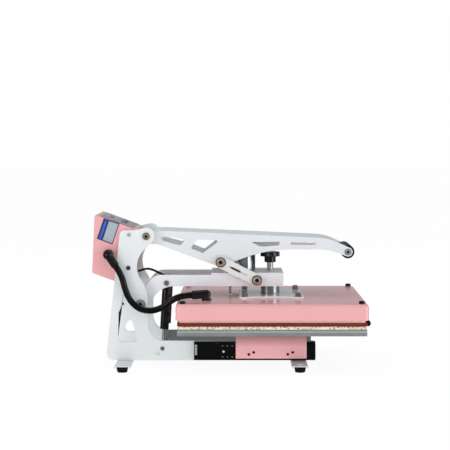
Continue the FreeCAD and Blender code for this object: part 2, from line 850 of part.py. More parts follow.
# One channel of a drawer slide, open towards the outside or towards the plate
def rail(side, inner, outer, z_inset, opens_out, x0, x1, hole_x):
    low = slide_middle - slide_height / 2 + z_inset
    high = slide_middle + slide_height / 2 - z_inset
    if opens_out:
        web = block(x0, x1, inner, inner + slide_sheet, low, high)
    else:
        web = block(x0, x1, outer - slide_sheet, outer, low, high)
    flanges = [block(x0, x1, inner, outer, low, low + slide_sheet),
               block(x0, x1, inner, outer, high - slide_sheet, high)]
    channel = joined([web] + flanges)
    channel = channel.cut(axle((hole_x, slide_middle - 1.1), 2.2, inner - 1, outer + 1))
    if side < 0:
        channel = channel.mirror(V(0, 0, 0), V(0, 1, 0))
    return channel


rail_step = slide_sheet + slide_play
hole_x = press_x - 98.3


def slide_outer_rails():
    outer = side_outer + slide_depth - slide_sheet
    return both(lambda side: rail(side, side_outer, outer, 0, True, slide_rear, slide_front, hole_x))


def slide_middle_rails():
    inner = side_outer + slide_sheet + slide_play
    outer = side_outer + slide_depth - 2 * slide_sheet - slide_play
    start, end = slide_rear + 5, slide_front - 5
    return both(lambda side: rail(side, inner, outer, rail_step, True, start, end, hole_x))


def slide_inner_rails():
    inner = side_outer + 2 * (slide_sheet + slide_play)
    outer = side_outer + slide_depth
    start = slide_rear + 8.3
    return both(lambda side: rail(side, inner, outer, 2 * rail_step, False, start, slide_front, hole_x))


bracket_rear = press_x - bracket_setback
bracket_front = bracket_rear + bracket_length
bracket_low = slide_middle - slide_height / 2 + bracket_low_inset
bracket_screw_steps = [(27.1, 8.5), (37.0, 12.7), (107.1, 8.8), (117.2, 12.7)]
bracket_screw_radius = 1.5
bracket_screw_head = 2.6
bracket_screw_head_height = 1.6
platen_screw_head = 4.0
platen_screw_head_height = 2.4


def bracket_screw_places():
    return [(bracket_rear + dx, bracket_low + dz) for dx, dz in bracket_screw_steps]


# Where the brackets are screwed to the lower platen from below, on one side
def platen_screw_places(side):
    y = side * (side_outer + slide_depth - platen_screw_inset)
    return [(x, y) for x in (bracket_rear + platen_screw_setback, bracket_front - platen_screw_setback)]


# Angle brackets that carry the lower platen on the slides
def slide_bracket(side):
    face = side_outer + slide_depth
    outside, back, under = face + bracket_sheet, face - bracket_flange, platen_bottom - bracket_sheet
    section = [
        (face, bracket_low, 0), (outside, bracket_low, 0), (outside, platen_bottom, 3.5),
        (back, platen_bottom, 0), (back, under, 0), (face, under, 0.5),
    ]
    angle = prism(section, "yz", bracket_rear, bracket_front)
    holes = [axle(place, bracket_screw_radius + running_fit, face - 1, outside + 1)
             for place in bracket_screw_places()]
    holes += [upright(x, y, platen_screw_radius + running_fit, under - 1, platen_bottom + 1)
              for x, y in platen_screw_places(1)]
    angle = angle.cut(holes)
    if side < 0:
        angle = angle.mirror(V(0, 0, 0), V(0, 1, 0))
    return angle


def bracket_screws():
    face = side_outer + slide_depth
    seat = face + bracket_sheet
    z = platen_bottom - bracket_sheet
    screws = []
    for side in SIDES.values():
        for place in bracket_screw_places():
            cap = bolt_head(place, seat, side, bracket_screw_head, bracket_screw_head_height)
            screws.append(cap.fuse(axle(place, bracket_screw_radius, side * face, side * seat)))
        for x, y in platen_screw_places(side):
            cap = stand(socket_head(platen_screw_head, platen_screw_head_height), (x, y, z), (0, 0, -1))
            screws.append(cap.fuse(upright(x, y, platen_screw_radius, z, platen_bottom + platen_screw_reach)))
    return screws


def slab_on_press(size, z0, z1, rounding):
    half = size / 2
    return prism(rectangle(press_x - half, press_x + half, -half, half, rounding), "xy", z0, z1)


def lower_platen():
    plate = slab_on_press(platen_size, platen_bottom, platen_top, 4)
    taps = [upright(x, y, platen_screw_radius + running_fit, platen_bottom - 1,
                    platen_bottom + platen_screw_reach + 0.5)
            for side in SIDES.values() for x, y in platen_screw_places(side)]
    return [plate.cut(taps)]


def silicone_pad():
    return [slab_on_press(platen_size - 2 * pad_inset, platen_top, pad_top, 4)]


# The bar that pulls the lower platen out
def drawer_pull():
    face = press_x + platen_size / 2
    centre = (face + pull_reach - pull_radius, platen_bottom + lower_platen_height / 2)
    grip_bar = axle(centre, pull_radius, -pull_length / 2, pull_length / 2)
    rims = [edge for edge in grip_bar.Edges if edge.Length < 2 * math.pi * pull_radius + 0.1
            and edge.BoundBox.YLength < 0.01]
    grip_bar = grip_bar.makeFillet(2.0, rims)
    posts = [bar_along_x(side * (pull_length / 2 - 10), centre[1], 4.0, face, centre[0])
             for side in SIDES.values()]
    return [joined([grip_bar] + posts)]


# Head: coated face, heated platen, element, insulation and cover
def coated_face():
    return [slab_on_press(platen_size, face_bottom, face_top, 4)]


def stud_places():
    middle = press_x + bridge_shift
    return [(middle + end * stud_spread, side * stud_row) for end in (-1, 1) for side in SIDES.values()]


def heat_platen():
    plate = slab_on_press(platen_size - 2 * heat_platen_inset, face_top, heat_platen_top, 4)
    hole, low, high = stud_radius + running_fit, face_top + 2.5, heat_platen_top + 1
    taps = [upright(x, y, hole, low, high) for x, y in stud_places()]
    return [plate.cut(taps)]


element_rows = 4
element_reach = 120.0
element_height = 8.0


# A flat tubular element that runs back and forth over the heated platen
def heating_element():
    pitch = 2 * element_reach / (element_rows - 1)
    rows = [-element_reach + pitch * index for index in range(element_rows)]
    level, top = heat_platen_top, heat_platen_top + element_height
    pieces = []
    for index, y in enumerate(rows):
        pieces.append(block(press_x - element_reach, press_x + element_reach, y - element_radius,
                            y + element_radius, level, top))
        if index:
            end = 1 if index % 2 else -1
            x = press_x + element_reach * end
            middle = y - pitch / 2
            bend = upright(x, middle, pitch / 2 + element_radius, level, top)
            bend = bend.cut(upright(x, middle, pitch / 2 - element_radius, level - 1, cover_top))
            keep = block(min(x, x + pitch * end), max(x, x + pitch * end),
                         middle - pitch, middle + pitch, level - 1, cover_top)
            pieces.append(bend.common(keep))
    # The thermostat stands on the platen between the two middle rows
    sensor = upright(press_x, 0, 9.0, heat_platen_top, heat_platen_top + 7.0)
    return [joined(pieces), sensor]


def insulation():
    base = heat_platen_top + element_height
    half = cover_half - cover_sheet - 3.0
    mat = prism(rectangle(press_x - half, press_x + half, -half, half, 8), "xy", base,
                min(base + insulation_height, cover_top - cover_sheet))
    return [mat.cut([upright(x, y, stud_radius + 0.5, base - 1, cover_top) for x, y in stud_places()])]


cap_spread = 180.0 / 190.5
cap_radius = 6.0
cap_height = 5.5
cap_stem = 2.5


def cap_places():
    reach = cap_spread * platen_size / 2
    return [(press_x + sx * reach, sy * reach) for sx in (-1, 1) for sy in (-1, 1)]


def head_cover():
    half = cover_half
    corners = rectangle(press_x - half, press_x + half, -half, half, cover_corner)
    tray = prism(corners, "xy", cover_bottom, cover_top)
    rims = [edge for edge in tray.Edges if edge.BoundBox.ZMin > cover_top - 0.01]
    tray = tray.makeFillet(cover_edge, rims)
    hollow = prism(inset(corners, cover_sheet), "xy", cover_bottom - 1, cover_top - cover_sheet)
    rims = [edge for edge in hollow.Edges if edge.BoundBox.ZMin > cover_top - cover_sheet - 0.01]
    hollow = hollow.makeFillet(cover_edge - cover_sheet, rims)
    cuts = [hollow]
    cuts += [upright(x, y, cap_stem + running_fit, cover_top - 5, cover_top + 1) for x, y in cap_places()]
    cuts += [upright(x, y, stud_radius + running_fit, cover_top - 5, cover_top + 1) for x, y in stud_places()]
    gland_hole = gland_thread_radius + running_fit
    cuts.append(upright(head_gland[0], head_gland[1], gland_hole, cover_top - 5, cover_top + 1))
    return [tray.cut(cuts)]


def cover_screws():
    screws = []
    for x, y in cap_places():
        cap = stand(socket_head(cap_radius, cap_height), (x, y, cover_top), (0, 0, 1))
        screws.append(cap.fuse(upright(x, y, cap_stem, cover_top - 4, cover_top)))
    return screws


# The elbow gland stands on the cover and points back to the conduit
def head_elbow_gland():
    x, y = head_gland
    z = cover_top + head_gland_height
    thread = upright(x, y, gland_thread_radius, cover_top - cover_sheet - 2, cover_top)
    nut = hexagon(head_gland_nut_radius, 0, head_gland_nut_height)
    nut.translate(V(x, y, cover_top))
    neck = upright(x, y, head_gland_stem, cover_top + head_gland_nut_height, z)
    ball = Part.makeSphere(head_gland_radius, V(x, y, z))
    barrel = Part.makeCylinder(head_gland_radius, head_gland_reach, V(x, y, z),
                               V(head_gland_axis[0], 0, head_gland_axis[1]))
    return [joined([thread, nut, neck, ball, barrel])]


# Bridge plate that hangs the head from the pressure screw, with a tongue for the guide pin
tongue_rear = 88.5
tongue_half = 10.0
guide_setback = 84.8
guide_radius = 3.0
guide_spare = 1.6


def bridge_plate():
    middle, half_x, half_y = press_x + bridge_shift, bridge_length / 2, bridge_width / 2
    plate = prism(rectangle(middle - half_x, middle + half_x, -half_y, half_y, bridge_corner),
                  "xy", cover_top, bridge_top)
    tongue = prism(rectangle(press_x - tongue_rear, middle, -tongue_half, tongue_half, 2),
                   "xy", cover_top, bridge_top)
    cuts = [upright(x, y, stud_radius + running_fit, cover_top - 1, bridge_top + 1) for x, y in stud_places()]
    cuts.append(upright(press_x - guide_setback, 0, guide_radius, cover_top - 1, bridge_top + 1))
    scoop = (bridge_scoop_length ** 2 / 4 + bridge_scoop_depth ** 2) / (2 * bridge_scoop_depth)
    for side in SIDES.values():
        y = side * (half_y - bridge_scoop_depth + scoop)
        cuts.append(upright(middle, y, scoop, cover_top - 1, bridge_top + 1))
    return [joined([plate, tongue]).cut(cuts)]


# Studs with their nuts, and the pin that keeps the head from turning with the screw
def bridge_studs():
    pieces = []
    for x, y in stud_places():
        stud = upright(x, y, stud_radius, face_top + 3, bridge_top + stud_height)
        nut = hexagon(stud_nut_radius, 0, stud_nut_height)
        nut.translate(V(x, y, bridge_top))
        pieces.append(joined([stud, nut]))
    guide_top = arm_bottom + arm_cap_sheet + head_travel + guide_spare
    pieces.append(upright(press_x - guide_setback, 0, guide_radius, cover_top, guide_top))
    return pieces


cup_floor = 4.3
cup_room = 6.7


# Cup on the bridge plate that holds the foot of the pressure screw
def pressure_cup():
    cup = upright(press_x, 0, cup_radius, bridge_top, bridge_top + cup_height)
    floor = bridge_top + cup_floor
    room = upright(press_x, 0, screw_foot_radius + side_play, floor, floor + cup_room)
    bore = upright(press_x, 0, screw_radius + side_play, floor, bridge_top + cup_height + 1)
    return [cup.cut([room, bore])]


def pressure_screw():
    foot_low = bridge_top + cup_floor + side_play
    foot_high = bridge_top + cup_floor + cup_room - side_play
    foot = upright(press_x, 0, screw_foot_radius, foot_low, foot_high)
    stem = upright(press_x, 0, screw_radius, foot_low, arm_cap_top + knob_rise)
    return [joined([foot, stem])]


knob_lobes = 6


# Star knob over a round hub
def pressure_knob():
    top = arm_cap_top + knob_rise + knob_height + 1.0
    hub_low = top - knob_height - 12.5
    hub = upright(press_x, 0, 11.2, hub_low, top - knob_height)
    star = upright(press_x, 0, knob_radius, top - knob_height, top)
    cuts = []
    for index in range(knob_lobes):
        turn = 2 * math.pi * (index + 0.5) / knob_lobes
        reach = knob_radius + 4.0
        cuts.append(upright(press_x + reach * math.cos(turn), reach * math.sin(turn), 7.0,
                            top - knob_height - 1, top + 1))
    knob = joined([hub, star.cut(cuts)])
    return [knob.cut(upright(press_x, 0, screw_radius, hub_low - 1, arm_cap_top + knob_rise))]


# Arm: two side plates, cross plates, the pivot tube and the threaded block
arm_boss_start = 140.0
arm_boss_end = 326.0


def arm_plate(side):
    rear_top = (arm_pivot[0] + 27.5, arm_top)
    front = press_x + arm_nose
    corners = [
        (arm_pivot[0] + 41.5, arm_bottom, 49),
        (front, arm_bottom, 5),
        (front, arm_top, 5),
        (*rear_top, 30),
    ]
    corners += around(arm_pivot, arm_boss_radius, arm_boss_start, arm_boss_end)
    plate = prism(corners, "xz", side * arm_inner, side * arm_outer)
    boss = axle(link_low, link_boss_radius, side * arm_outer, side * (link_inner - side_play))
    plate = joined([plate, boss])
    low, high = side * (arm_inner - 1), side * (arm_outer + 1)
    return [plate.cut([axle(arm_pivot, arm_pivot_radius + running_fit, low, high),
                       axle(spring_top, spring_pin_radius, low, high)])]


top_cap_rear = 124.5
bottom_cap_rear = 92.5


def arm_top_plate():
    corners = rectangle(press_x - top_cap_rear, press_x + arm_nose, -arm_outer, arm_outer, 3)
    plate = prism(corners, "xy", arm_top, arm_cap_top)
    bores = [upright(press_x, 0, screw_radius + 0.5, arm_top - 1, arm_cap_top + 1),
             upright(lead_gland[0], lead_gland[1], 5.0, arm_top - 1, arm_cap_top + 1)]
    return [plate.cut(bores)]


def arm_bottom_plate():
    corners = rectangle(press_x - bottom_cap_rear, press_x + arm_nose - 2, -arm_inner, arm_inner, 2)
    plate = prism(corners, "xy", arm_bottom, arm_bottom + arm_cap_sheet)
    bores = [upright(press_x, 0, cup_radius + 1, arm_bottom - 1, arm_top),
             upright(press_x - guide_setback, 0, guide_radius + running_fit, arm_bottom - 1, arm_top)]
    return [plate.cut(bores)]


def arm_pivot_tube():
    return [ring(arm_pivot, arm_tube_radius, arm_pivot_radius + running_fit, -arm_inner, arm_inner)]


nut_block_gap = 1.0
nut_block_low = bridge_top + cup_height + head_travel + nut_block_gap


def nut_block():
    nut = upright(press_x, 0, 18.0, nut_block_low, arm_top)
    return [nut.cut(upright(press_x, 0, screw_radius + running_fit, nut_block_low - 1, arm_top + 1))]


def spring_top_shaft():
    parts = [axle(spring_top, spring_pin_radius, -arm_outer, arm_outer)]
    parts += both(lambda side: bolt_head(spring_top, arm_outer, side, 5.5, 4.0))
    return [joined(parts)]


# The holding magnet and the gland of its lead, which passes through the arm's top plate
def electromagnet():
    body = upright(magnet_x, 0, magnet_radius, arm_cap_top, magnet_top)
    rims = [edge for edge in body.Edges if edge.BoundBox.ZMin > magnet_top - 0.01]
    body = body.makeChamfer(1.5, rims)
    x, y, z = lead_gland
    stem = upright(x, y, 5.0, z - 4.0, arm_cap_top)
    side_stem = bar_along_x(y, z, 3.6, x - lead_gland_reach, x)
    return [joined([body, stem, side_stem])]


# Gas springs lean from their upper pin to their lower pin
spring_run = unit(spring_low[0] - spring_top[0], spring_low[1] - spring_top[1])
spring_length = math.hypot(spring_low[0] - spring_top[0], spring_low[1] - spring_top[1])
spring_tube_start = 12.0
spring_eye_half = 5.0
spring_wall = 1.5


def on_spring(shape, side):
    placed = shape.copy()
    placed.Placement = FreeCAD.Placement(
        V(spring_top[0], side * spring_offset, spring_top[1]),
        FreeCAD.Rotation(V(0, 0, 1), V(spring_run[0], 0, spring_run[1])))
    return placed


def gas_spring_cylinder(side):
    end = spring_tube_start + spring_tube_length
    body = upright(0, 0, spring_radius, spring_tube_start, end)
    room = upright(0, 0, spring_radius - spring_wall, spring_tube_start + 5, end - 5)
    bore = upright(0, 0, spring_rod_radius + running_fit, end - 6, end + 1)
    eye = axle((0, 0), 7.5, -spring_eye_half, spring_eye_half)
    neck = upright(0, 0, 4.5, 0, spring_tube_start)
    body = joined([body, eye, neck]).cut([room, bore, axle((0, 0), spring_pin_radius + running_fit, -9, 9)])
    return on_spring(body, side)


# The rod's lower eye is larger than its pin by the slack that the swing needs
def gas_spring_rod(side):
    bore = spring_pin_radius + spring_slack
    piston_low = spring_tube_start + 8
    rod = upright(0, 0, spring_rod_radius, piston_low, spring_length - bore)
    piston = upright(0, 0, spring_radius - spring_wall - 0.1, piston_low, piston_low + 8)
    eye = axle((0, spring_length), bore + 2.7, -spring_eye_half, spring_eye_half)
    rod = joined([rod, piston, eye]).cut(axle((0, spring_length), bore, -9, 9))
    return on_spring(rod, side)


# Handle: two sheet sides and a top web folded from one sheet, welded to the pivot tube
handle_corners = [
    (handle_pivot[0] - 17.0, handle_pivot[1] - 17.0, 17),
    (handle_pivot[0] + 21.4, handle_pivot[1] - 17.0, 60),
    (link_high[0] + 3.1, link_high[1] - 12.4, 12),
    (link_low[0] + 0.2, handle_pivot[1] - 28.4, 300),
    (grip[0] - 43.0, grip[1] + 5.6, 130),
    (grip[0] + 9.5, grip[1] - 13.5, 9.5),
    (grip[0] + 9.5, grip[1] + 6.2, 9.5),
    (grip[0] - 41.9, grip[1] + 29.1, 110),
    (handle_pivot[0] - 17.0, handle_pivot[1] + 12.5, 11),
]
web_rear = handle_pivot[0] + 28.2
web_front = grip[0] - 19.5


# Cut-outs through both sides of the handle, behind and in front of the links
def handle_windows():
    hx, hz = handle_pivot
    gx, gz = grip
    return [
        [(hx + 32.2, hz - 2.5, 3), (hx + 32.2, hz - 10.2, 3), (hx + 69.8, hz - 20.5, 3),
         (hx + 80.7, hz - 8.5, 3), (hx + 54.2, hz - 2.5, 3)],
        [(hx + 105.7, hz - 7.7, 3), (hx + 91.3, hz - 26.1, 3), (hx + 117.6, hz - 36.3, 3),
         (hx + 152.4, hz - 9.4, 3)],
        [(gx - 203.5, gz + 21.0, 1), (gx - 181.0, gz + 11.2, 4), (gx - 143.6, gz + 13.9, 1.5),
         (gx - 142.7, gz + 21.0, 1.5)],
        [(gx - 119.8, gz + 20.4, 1.2), (gx - 119.0, gz + 13.9, 1.2), (gx - 67.5, gz + 15.2, 1.2),
         (gx - 67.0, gz + 18.7, 1.2)],
    ]


def handle_frame():
    sides = both(lambda side: prism(handle_corners, "xz", side * handle_inner, side * handle_outer))
    full = prism(handle_corners, "xz", -handle_inner, handle_inner)
    lowered = full.copy()
    lowered.translate(V(0, 0, -handle_sheet))
    low, high = handle_pivot[1] - 60, handle_pivot[1] + 60
    span = block(web_rear, web_front, -handle_inner, handle_inner, low, high)
    web = full.cut(lowered).common(span)
    frame = joined(sides + [web])
    cuts = [prism(corners, "xz", -handle_outer - 1, handle_outer + 1) for corners in handle_windows()]
    for side in SIDES.values():
        low, high = side * (handle_inner - 1), side * (handle_outer + 1)
        cuts.append(axle(handle_pivot, handle_tube_radius, low, high))
        cuts.append(axle(link_high, link_bolt_radius, low, high))
        cuts.append(axle(grip, grip_bolt_radius, low, high))
    return frame.cut(cuts).Solids


grip_bolt_radius = 4.0


def handle_pivot_tube():
    bore = handle_pivot_radius + running_fit
    return [ring(handle_pivot, handle_tube_radius, bore, -handle_outer, handle_outer)]


def grip_roll():
    roll = axle(grip, grip_radius, -handle_inner, handle_inner)
    rims = [edge for edge in roll.Edges if edge.BoundBox.YLength < 0.01]
    roll = roll.makeFillet(1.2, rims)
    return [roll.cut(axle(grip, grip_tube_radius, -handle_inner - 1, handle_inner + 1))]


def grip_tube():
    tube = ring(grip, grip_tube_radius, grip_bolt_radius + running_fit, -handle_inner, handle_inner)
    bolts = []
    for side in SIDES.values():
        shank = axle(grip, grip_bolt_radius, side * (handle_inner - 25), side * handle_outer)
        bolts.append(bolt_head(grip, handle_outer, side, 6.75, 3.2).fuse(shank))
    return [tube] + bolts


armature_half_x = 24.8
armature_half_y = 30.0
bracket_height = 4.0
armature_rise = 3.7


# Steel keeper that the magnet holds, hung loosely from a cross bracket in the handle
def armature_plate():
    low = magnet_top + side_play
    plate = prism(rectangle(magnet_x - armature_half_x, magnet_x + armature_half_x,
                            -armature_half_y, armature_half_y, 3), "xy", low, low + armature_height)
    return [plate.cut(upright(magnet_x, 0, 4.0, low - 1, low + armature_height + 1))]


def armature_bracket():
    low = magnet_top + side_play + armature_height
    base = low + armature_rise
    strap = block(magnet_x - 14, magnet_x + 14, -handle_inner, handle_inner, base, base + bracket_height)
    pad = upright(magnet_x, 0, 9.0, low, base)
    bolt = upright(magnet_x, 0, 4.0, low - armature_height + 2, base)
    nut = hexagon(7.0, 0, 5.0)
    nut.translate(V(magnet_x, 0, base + bracket_height))
    return [joined([strap, pad, bolt, nut])]


def link_upper_bolts():
    pieces = []
    for side in SIDES.values():
        low, high = handle_inner - 5, link_outer + side_play
        shank = axle(link_high, link_bolt_radius, side * low, side * high)
        seat = link_outer + link_washer_sheet + 0.2
        washer = axle(link_high, link_washer_radius, side * high, side * seat)
        head = bolt_head(link_high, seat, side, link_head_radius, pivot_head_height)
        pieces.append(joined([shank, washer, head]))
        spacer_end = link_inner - side_play
        pieces.append(ring(link_high, 8.5, link_bolt_radius, side * handle_outer, side * spacer_end))
        pieces.append(ring(link_high, 8.0, link_bolt_radius, side * low, side * handle_inner))
    return pieces


def side_link(side):
    slope = link_slope - 180.0
    corners = around(link_low, link_half_width, slope - 90, slope + 90)
    corners += around(link_high, link_half_width, slope + 90, slope + 270)
    bar = prism(corners, "xz", side * link_inner, side * link_outer)
    run = (math.cos(math.radians(slope)), math.sin(math.radians(slope)))
    slot = []
    for along, turn in ((link_slot_start, -1), (link_slot_end, -1), (link_slot_end, 1), (link_slot_start, 1)):
        across = turn * link_slot_half
        slot.append((link_high[0] + run[0] * along - run[1] * across,
                     link_high[1] + run[1] * along + run[0] * across, link_slot_half - 0.1))
    low, high = side * (link_inner - 1), side * (link_outer + 1)
    return bar.cut([axle(link_high, link_bolt_radius + running_fit, low, high),
                    axle(link_low, link_bolt_radius, low, high), prism(slot, "xz", low, high)])


# The lower bolts end flush with the inside of the links, in front of the bosses on the arm
def link_lower_bolts():
    pieces = []
    for side in SIDES.values():
        shank = axle(link_low, link_bolt_radius, side * link_inner, side * link_outer)
        seat = link_outer + link_washer_sheet
        washer = axle(link_low, link_washer_radius, side * link_outer, side * seat)
        head = bolt_head(link_low, seat, side, link_head_radius, pivot_head_height)
        pieces.append(joined([shank, washer, head]))
    return pieces


nodes = {
    "cross_bars": cross_bar(bar_front_x) + cross_bar(bar_rear_x),
    "rubber_feet": rubber_feet(),
    "frame_screws": frame_screws() + plain_bolt_nuts(),
    "rear_spreader": rear_spreader(),
    "cross_rods": tie_rod() + spring_lower_shaft(),
    "pivot_shafts": handle_pivot_shaft() + arm_pivot_shaft(),
    "pivot_spacers": pivot_spacers(),
    "control_box_shell": control_box_shell(),
    "control_box_sides": both(control_box_side),
    "control_panel": control_panel(),
    "display_window": display_window(),
    "control_board": control_board(),
    "power_modules": power_modules(),
    "power_inlet": power_inlet(),
    "power_switch": power_switch(),
    "box_cable_glands": box_cable_glands(),
    "conduit": cable("conduit", conduit_route, conduit_diameter),
    "magnet_wire": cable("magnet_wire", wire_route, wire_diameter),
    "slide_outer_rails": slide_outer_rails(),
    "slide_middle_rails": slide_middle_rails(),
    "slide_inner_rails": slide_inner_rails(),
    "slide_brackets": both(slide_bracket),
    "bracket_screws": bracket_screws(),
    "lower_platen": lower_platen(),
    "silicone_pad": silicone_pad(),
    "drawer_pull": drawer_pull(),
    "coated_face": coated_face(),
    "heat_platen": heat_platen(),
    "heating_element": heating_element(),
    "insulation": insulation(),
    "head_cover": head_cover(),
    "cover_screws": cover_screws(),
    "head_elbow_gland": head_elbow_gland(),
    "bridge_plate": bridge_plate(),
    "bridge_studs": bridge_studs(),
    "pressure_cup": pressure_cup(),
    "pressure_screw": pressure_screw(),
    "pressure_knob": pressure_knob(),
    "arm_top_plate": arm_top_plate(),
    "arm_bottom_plate": arm_bottom_plate(),
    "arm_pivot_tube": arm_pivot_tube(),
    "nut_block": nut_block(),
    "spring_top_shaft": spring_top_shaft(),
    "electromagnet": electromagnet(),
    "gas_spring_cylinders": both(gas_spring_cylinder),
    "gas_spring_rods": both(gas_spring_rod),
    "handle_frame": handle_frame() + handle_pivot_tube(),
    "grip_roll": grip_roll(),
    "grip_tube": grip_tube(),
    "magnet_keeper": armature_plate() + armature_bracket(),
    "link_upper_bolts": link_upper_bolts(),
    "side_links": both(side_link),
    "link_lower_bolts": link_lower_bolts(),
}
for name, y in button_places.items():
    nodes[name] = button(y)
for name, side in SIDES.items():
    nodes["side_plate_" + name] = side_plate(side)
    nodes["arm_plate_" + name] = arm_plate(side)

os.makedirs("parts", exist_ok=True)
low = V(1e9, 1e9, 1e9)
high = V(-1e9, -1e9, -1e9)
for name, pieces in nodes.items():
    solids = [solid for piece in pieces for solid in piece.Solids]
    shape = solids[0] if len(solids) == 1 else Part.makeCompound(solids)
    if not shape.isValid():
        print("not valid:", name)
    shape.exportStep("parts/" + name + ".step")
    box = shape.BoundBox
    low = V(min(low.x, box.XMin), min(low.y, box.YMin), min(low.z, box.ZMin))
    high = V(max(high.x, box.XMax), max(high.y, box.YMax), max(high.z, box.ZMax))
print(len(nodes), "nodes; x %.2f to %.2f, y %.2f to %.2f, z %.2f to %.2f"
      % (low.x, high.x, low.y, high.y, low.z, high.z))
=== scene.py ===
import json
import math
import bmesh
import bpy
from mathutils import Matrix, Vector, noise

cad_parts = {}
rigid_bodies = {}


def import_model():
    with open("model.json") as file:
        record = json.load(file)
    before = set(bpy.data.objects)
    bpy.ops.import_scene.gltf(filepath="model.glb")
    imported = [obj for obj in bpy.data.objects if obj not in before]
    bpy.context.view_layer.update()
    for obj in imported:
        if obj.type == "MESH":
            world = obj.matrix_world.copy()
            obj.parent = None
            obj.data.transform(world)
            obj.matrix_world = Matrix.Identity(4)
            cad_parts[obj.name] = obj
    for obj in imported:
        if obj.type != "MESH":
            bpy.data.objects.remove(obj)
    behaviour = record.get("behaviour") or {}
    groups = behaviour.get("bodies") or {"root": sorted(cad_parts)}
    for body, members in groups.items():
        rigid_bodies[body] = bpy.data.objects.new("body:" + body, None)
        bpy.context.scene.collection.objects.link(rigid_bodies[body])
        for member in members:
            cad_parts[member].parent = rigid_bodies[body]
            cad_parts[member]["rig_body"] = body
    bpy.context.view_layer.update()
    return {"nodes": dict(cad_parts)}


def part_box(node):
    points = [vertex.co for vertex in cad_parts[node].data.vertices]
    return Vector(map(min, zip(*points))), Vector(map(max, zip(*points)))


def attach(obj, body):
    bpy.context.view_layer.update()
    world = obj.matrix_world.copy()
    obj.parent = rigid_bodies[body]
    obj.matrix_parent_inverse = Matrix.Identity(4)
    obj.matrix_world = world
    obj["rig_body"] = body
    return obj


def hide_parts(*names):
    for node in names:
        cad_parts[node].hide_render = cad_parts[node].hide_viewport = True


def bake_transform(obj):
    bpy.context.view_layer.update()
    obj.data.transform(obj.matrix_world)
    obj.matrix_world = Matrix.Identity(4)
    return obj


# Looks of an auto-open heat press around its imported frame. Metres, Z up, the user stands at +X.
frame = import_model()
nodes = frame["nodes"]
scene = bpy.context.scene
mm = 0.001
sides = {"left": -1, "right": 1}
slotOf = {name: node.data.materials[0].name for name, node in nodes.items()}


# Camera, floor and light
view = {
    "place": (0.010, -3.0455, 0.459),
    "lens": 114.3,
    "sensor": 36.0,
    "imageSize": 450,
    "axisPixel": (237, 145),
    "farthest": 200,
}


def placeCamera():
    data = bpy.data.cameras.new("photoCamera")
    data.lens = view["lens"]
    data.sensor_width = view["sensor"]
    data.shift_x = (view["imageSize"] / 2 - view["axisPixel"][0]) / view["imageSize"]
    data.shift_y = (view["axisPixel"][1] - view["imageSize"] / 2) / view["imageSize"]
    data.clip_end = view["farthest"]
    camera = bpy.data.objects.new("photoCamera", data)
    scene.collection.objects.link(camera)
    camera.location = view["place"]
    camera.rotation_euler = (math.radians(90), 0, 0)
    scene.camera = camera


def paint(red, green, blue):
    # a screen colour, 0 to 255, as the linear values that shaders take
    values = []
    for part in (red, green, blue):
        part = part / 255
        values.append(part / 12.92 if part <= 0.04045 else ((part + 0.055) / 1.055) ** 2.4)
    return (*values, 1.0)


def grey(level):
    return (level, level, level, 1)


# Tree helpers: a value for an input is a plain value, a socket, or a node whose first output is taken
def put(tree, kind, values=None, **fields):
    node = tree.nodes.new(kind)
    for field, value in fields.items():
        setattr(node, field, value)
    for socket, value in (values or {}).items():
        if isinstance(value, bpy.types.Node):
            value = value.outputs[0]
        if isinstance(value, bpy.types.NodeSocket):
            tree.links.new(value, node.inputs[socket])
        else:
            node.inputs[socket].default_value = value
    return node


def combined(operation, first, second):
    return put(first.id_data, "ShaderNodeMath", {0: first, 1: second}, operation=operation).outputs["Value"]


def remapped(value, low, high, fromLow=0.3, fromHigh=0.7):
    return put(value.id_data, "ShaderNodeMapRange", {"From Min": fromLow, "From Max": fromHigh, "To Min": low,
                                                     "To Max": high, "Value": value}).outputs["Result"]


def mixed(factor, low, high):
    return put(factor.id_data, "ShaderNodeMix", {"A": low, "B": high, "Factor": factor},
               data_type="RGBA").outputs["Result"]


def splitXYZ(vector):
    return put(vector.id_data, "ShaderNodeSeparateXYZ", {"Vector": vector}).outputs


def colourRamp(factor, stops, interpolation="LINEAR"):
    node = put(factor.id_data, "ShaderNodeValToRGB", {"Fac": factor})
    node.color_ramp.interpolation = interpolation
    elements = node.color_ramp.elements
    for index, (position, colour) in enumerate(stops):
        if index < 2:
            elements[index].position = position
            elements[index].color = colour
        else:
            elements.new(position).color = colour
    return node.outputs["Color"]


# What diffuse rays, glossy rays and the camera each meet, led to the tree's output
def splitByRay(tree, output, lit, mirrored, seen):
    ray = put(tree, "ShaderNodeLightPath").outputs
    unseen = put(tree, "ShaderNodeMixShader", {"Fac": ray["Is Glossy Ray"], 1: lit, 2: mirrored})
    final = put(tree, "ShaderNodeMixShader", {"Fac": ray["Is Camera Ray"], 1: unseen, 2: seen})
    put(tree, output, {"Surface": final})


room = {
    "tint": paint(252, 254, 255),
    "fill": 0.66,
    "backMirror": 0.17,
    "frontMirror": 0.07,
    "mirrorReach": 0.4,
    "horizonMirror": 0.62,
    "horizonReach": 0.34,
    "floorGlow": 0.93,
    "floorPaint": 0.09,
    "floorBounce": 0.72,
    "floorLift": 0.78,
    "floorMirror": 0.10,
    "floorSize": 60.0,
    "floorDrop": 0.3 * mm,
}
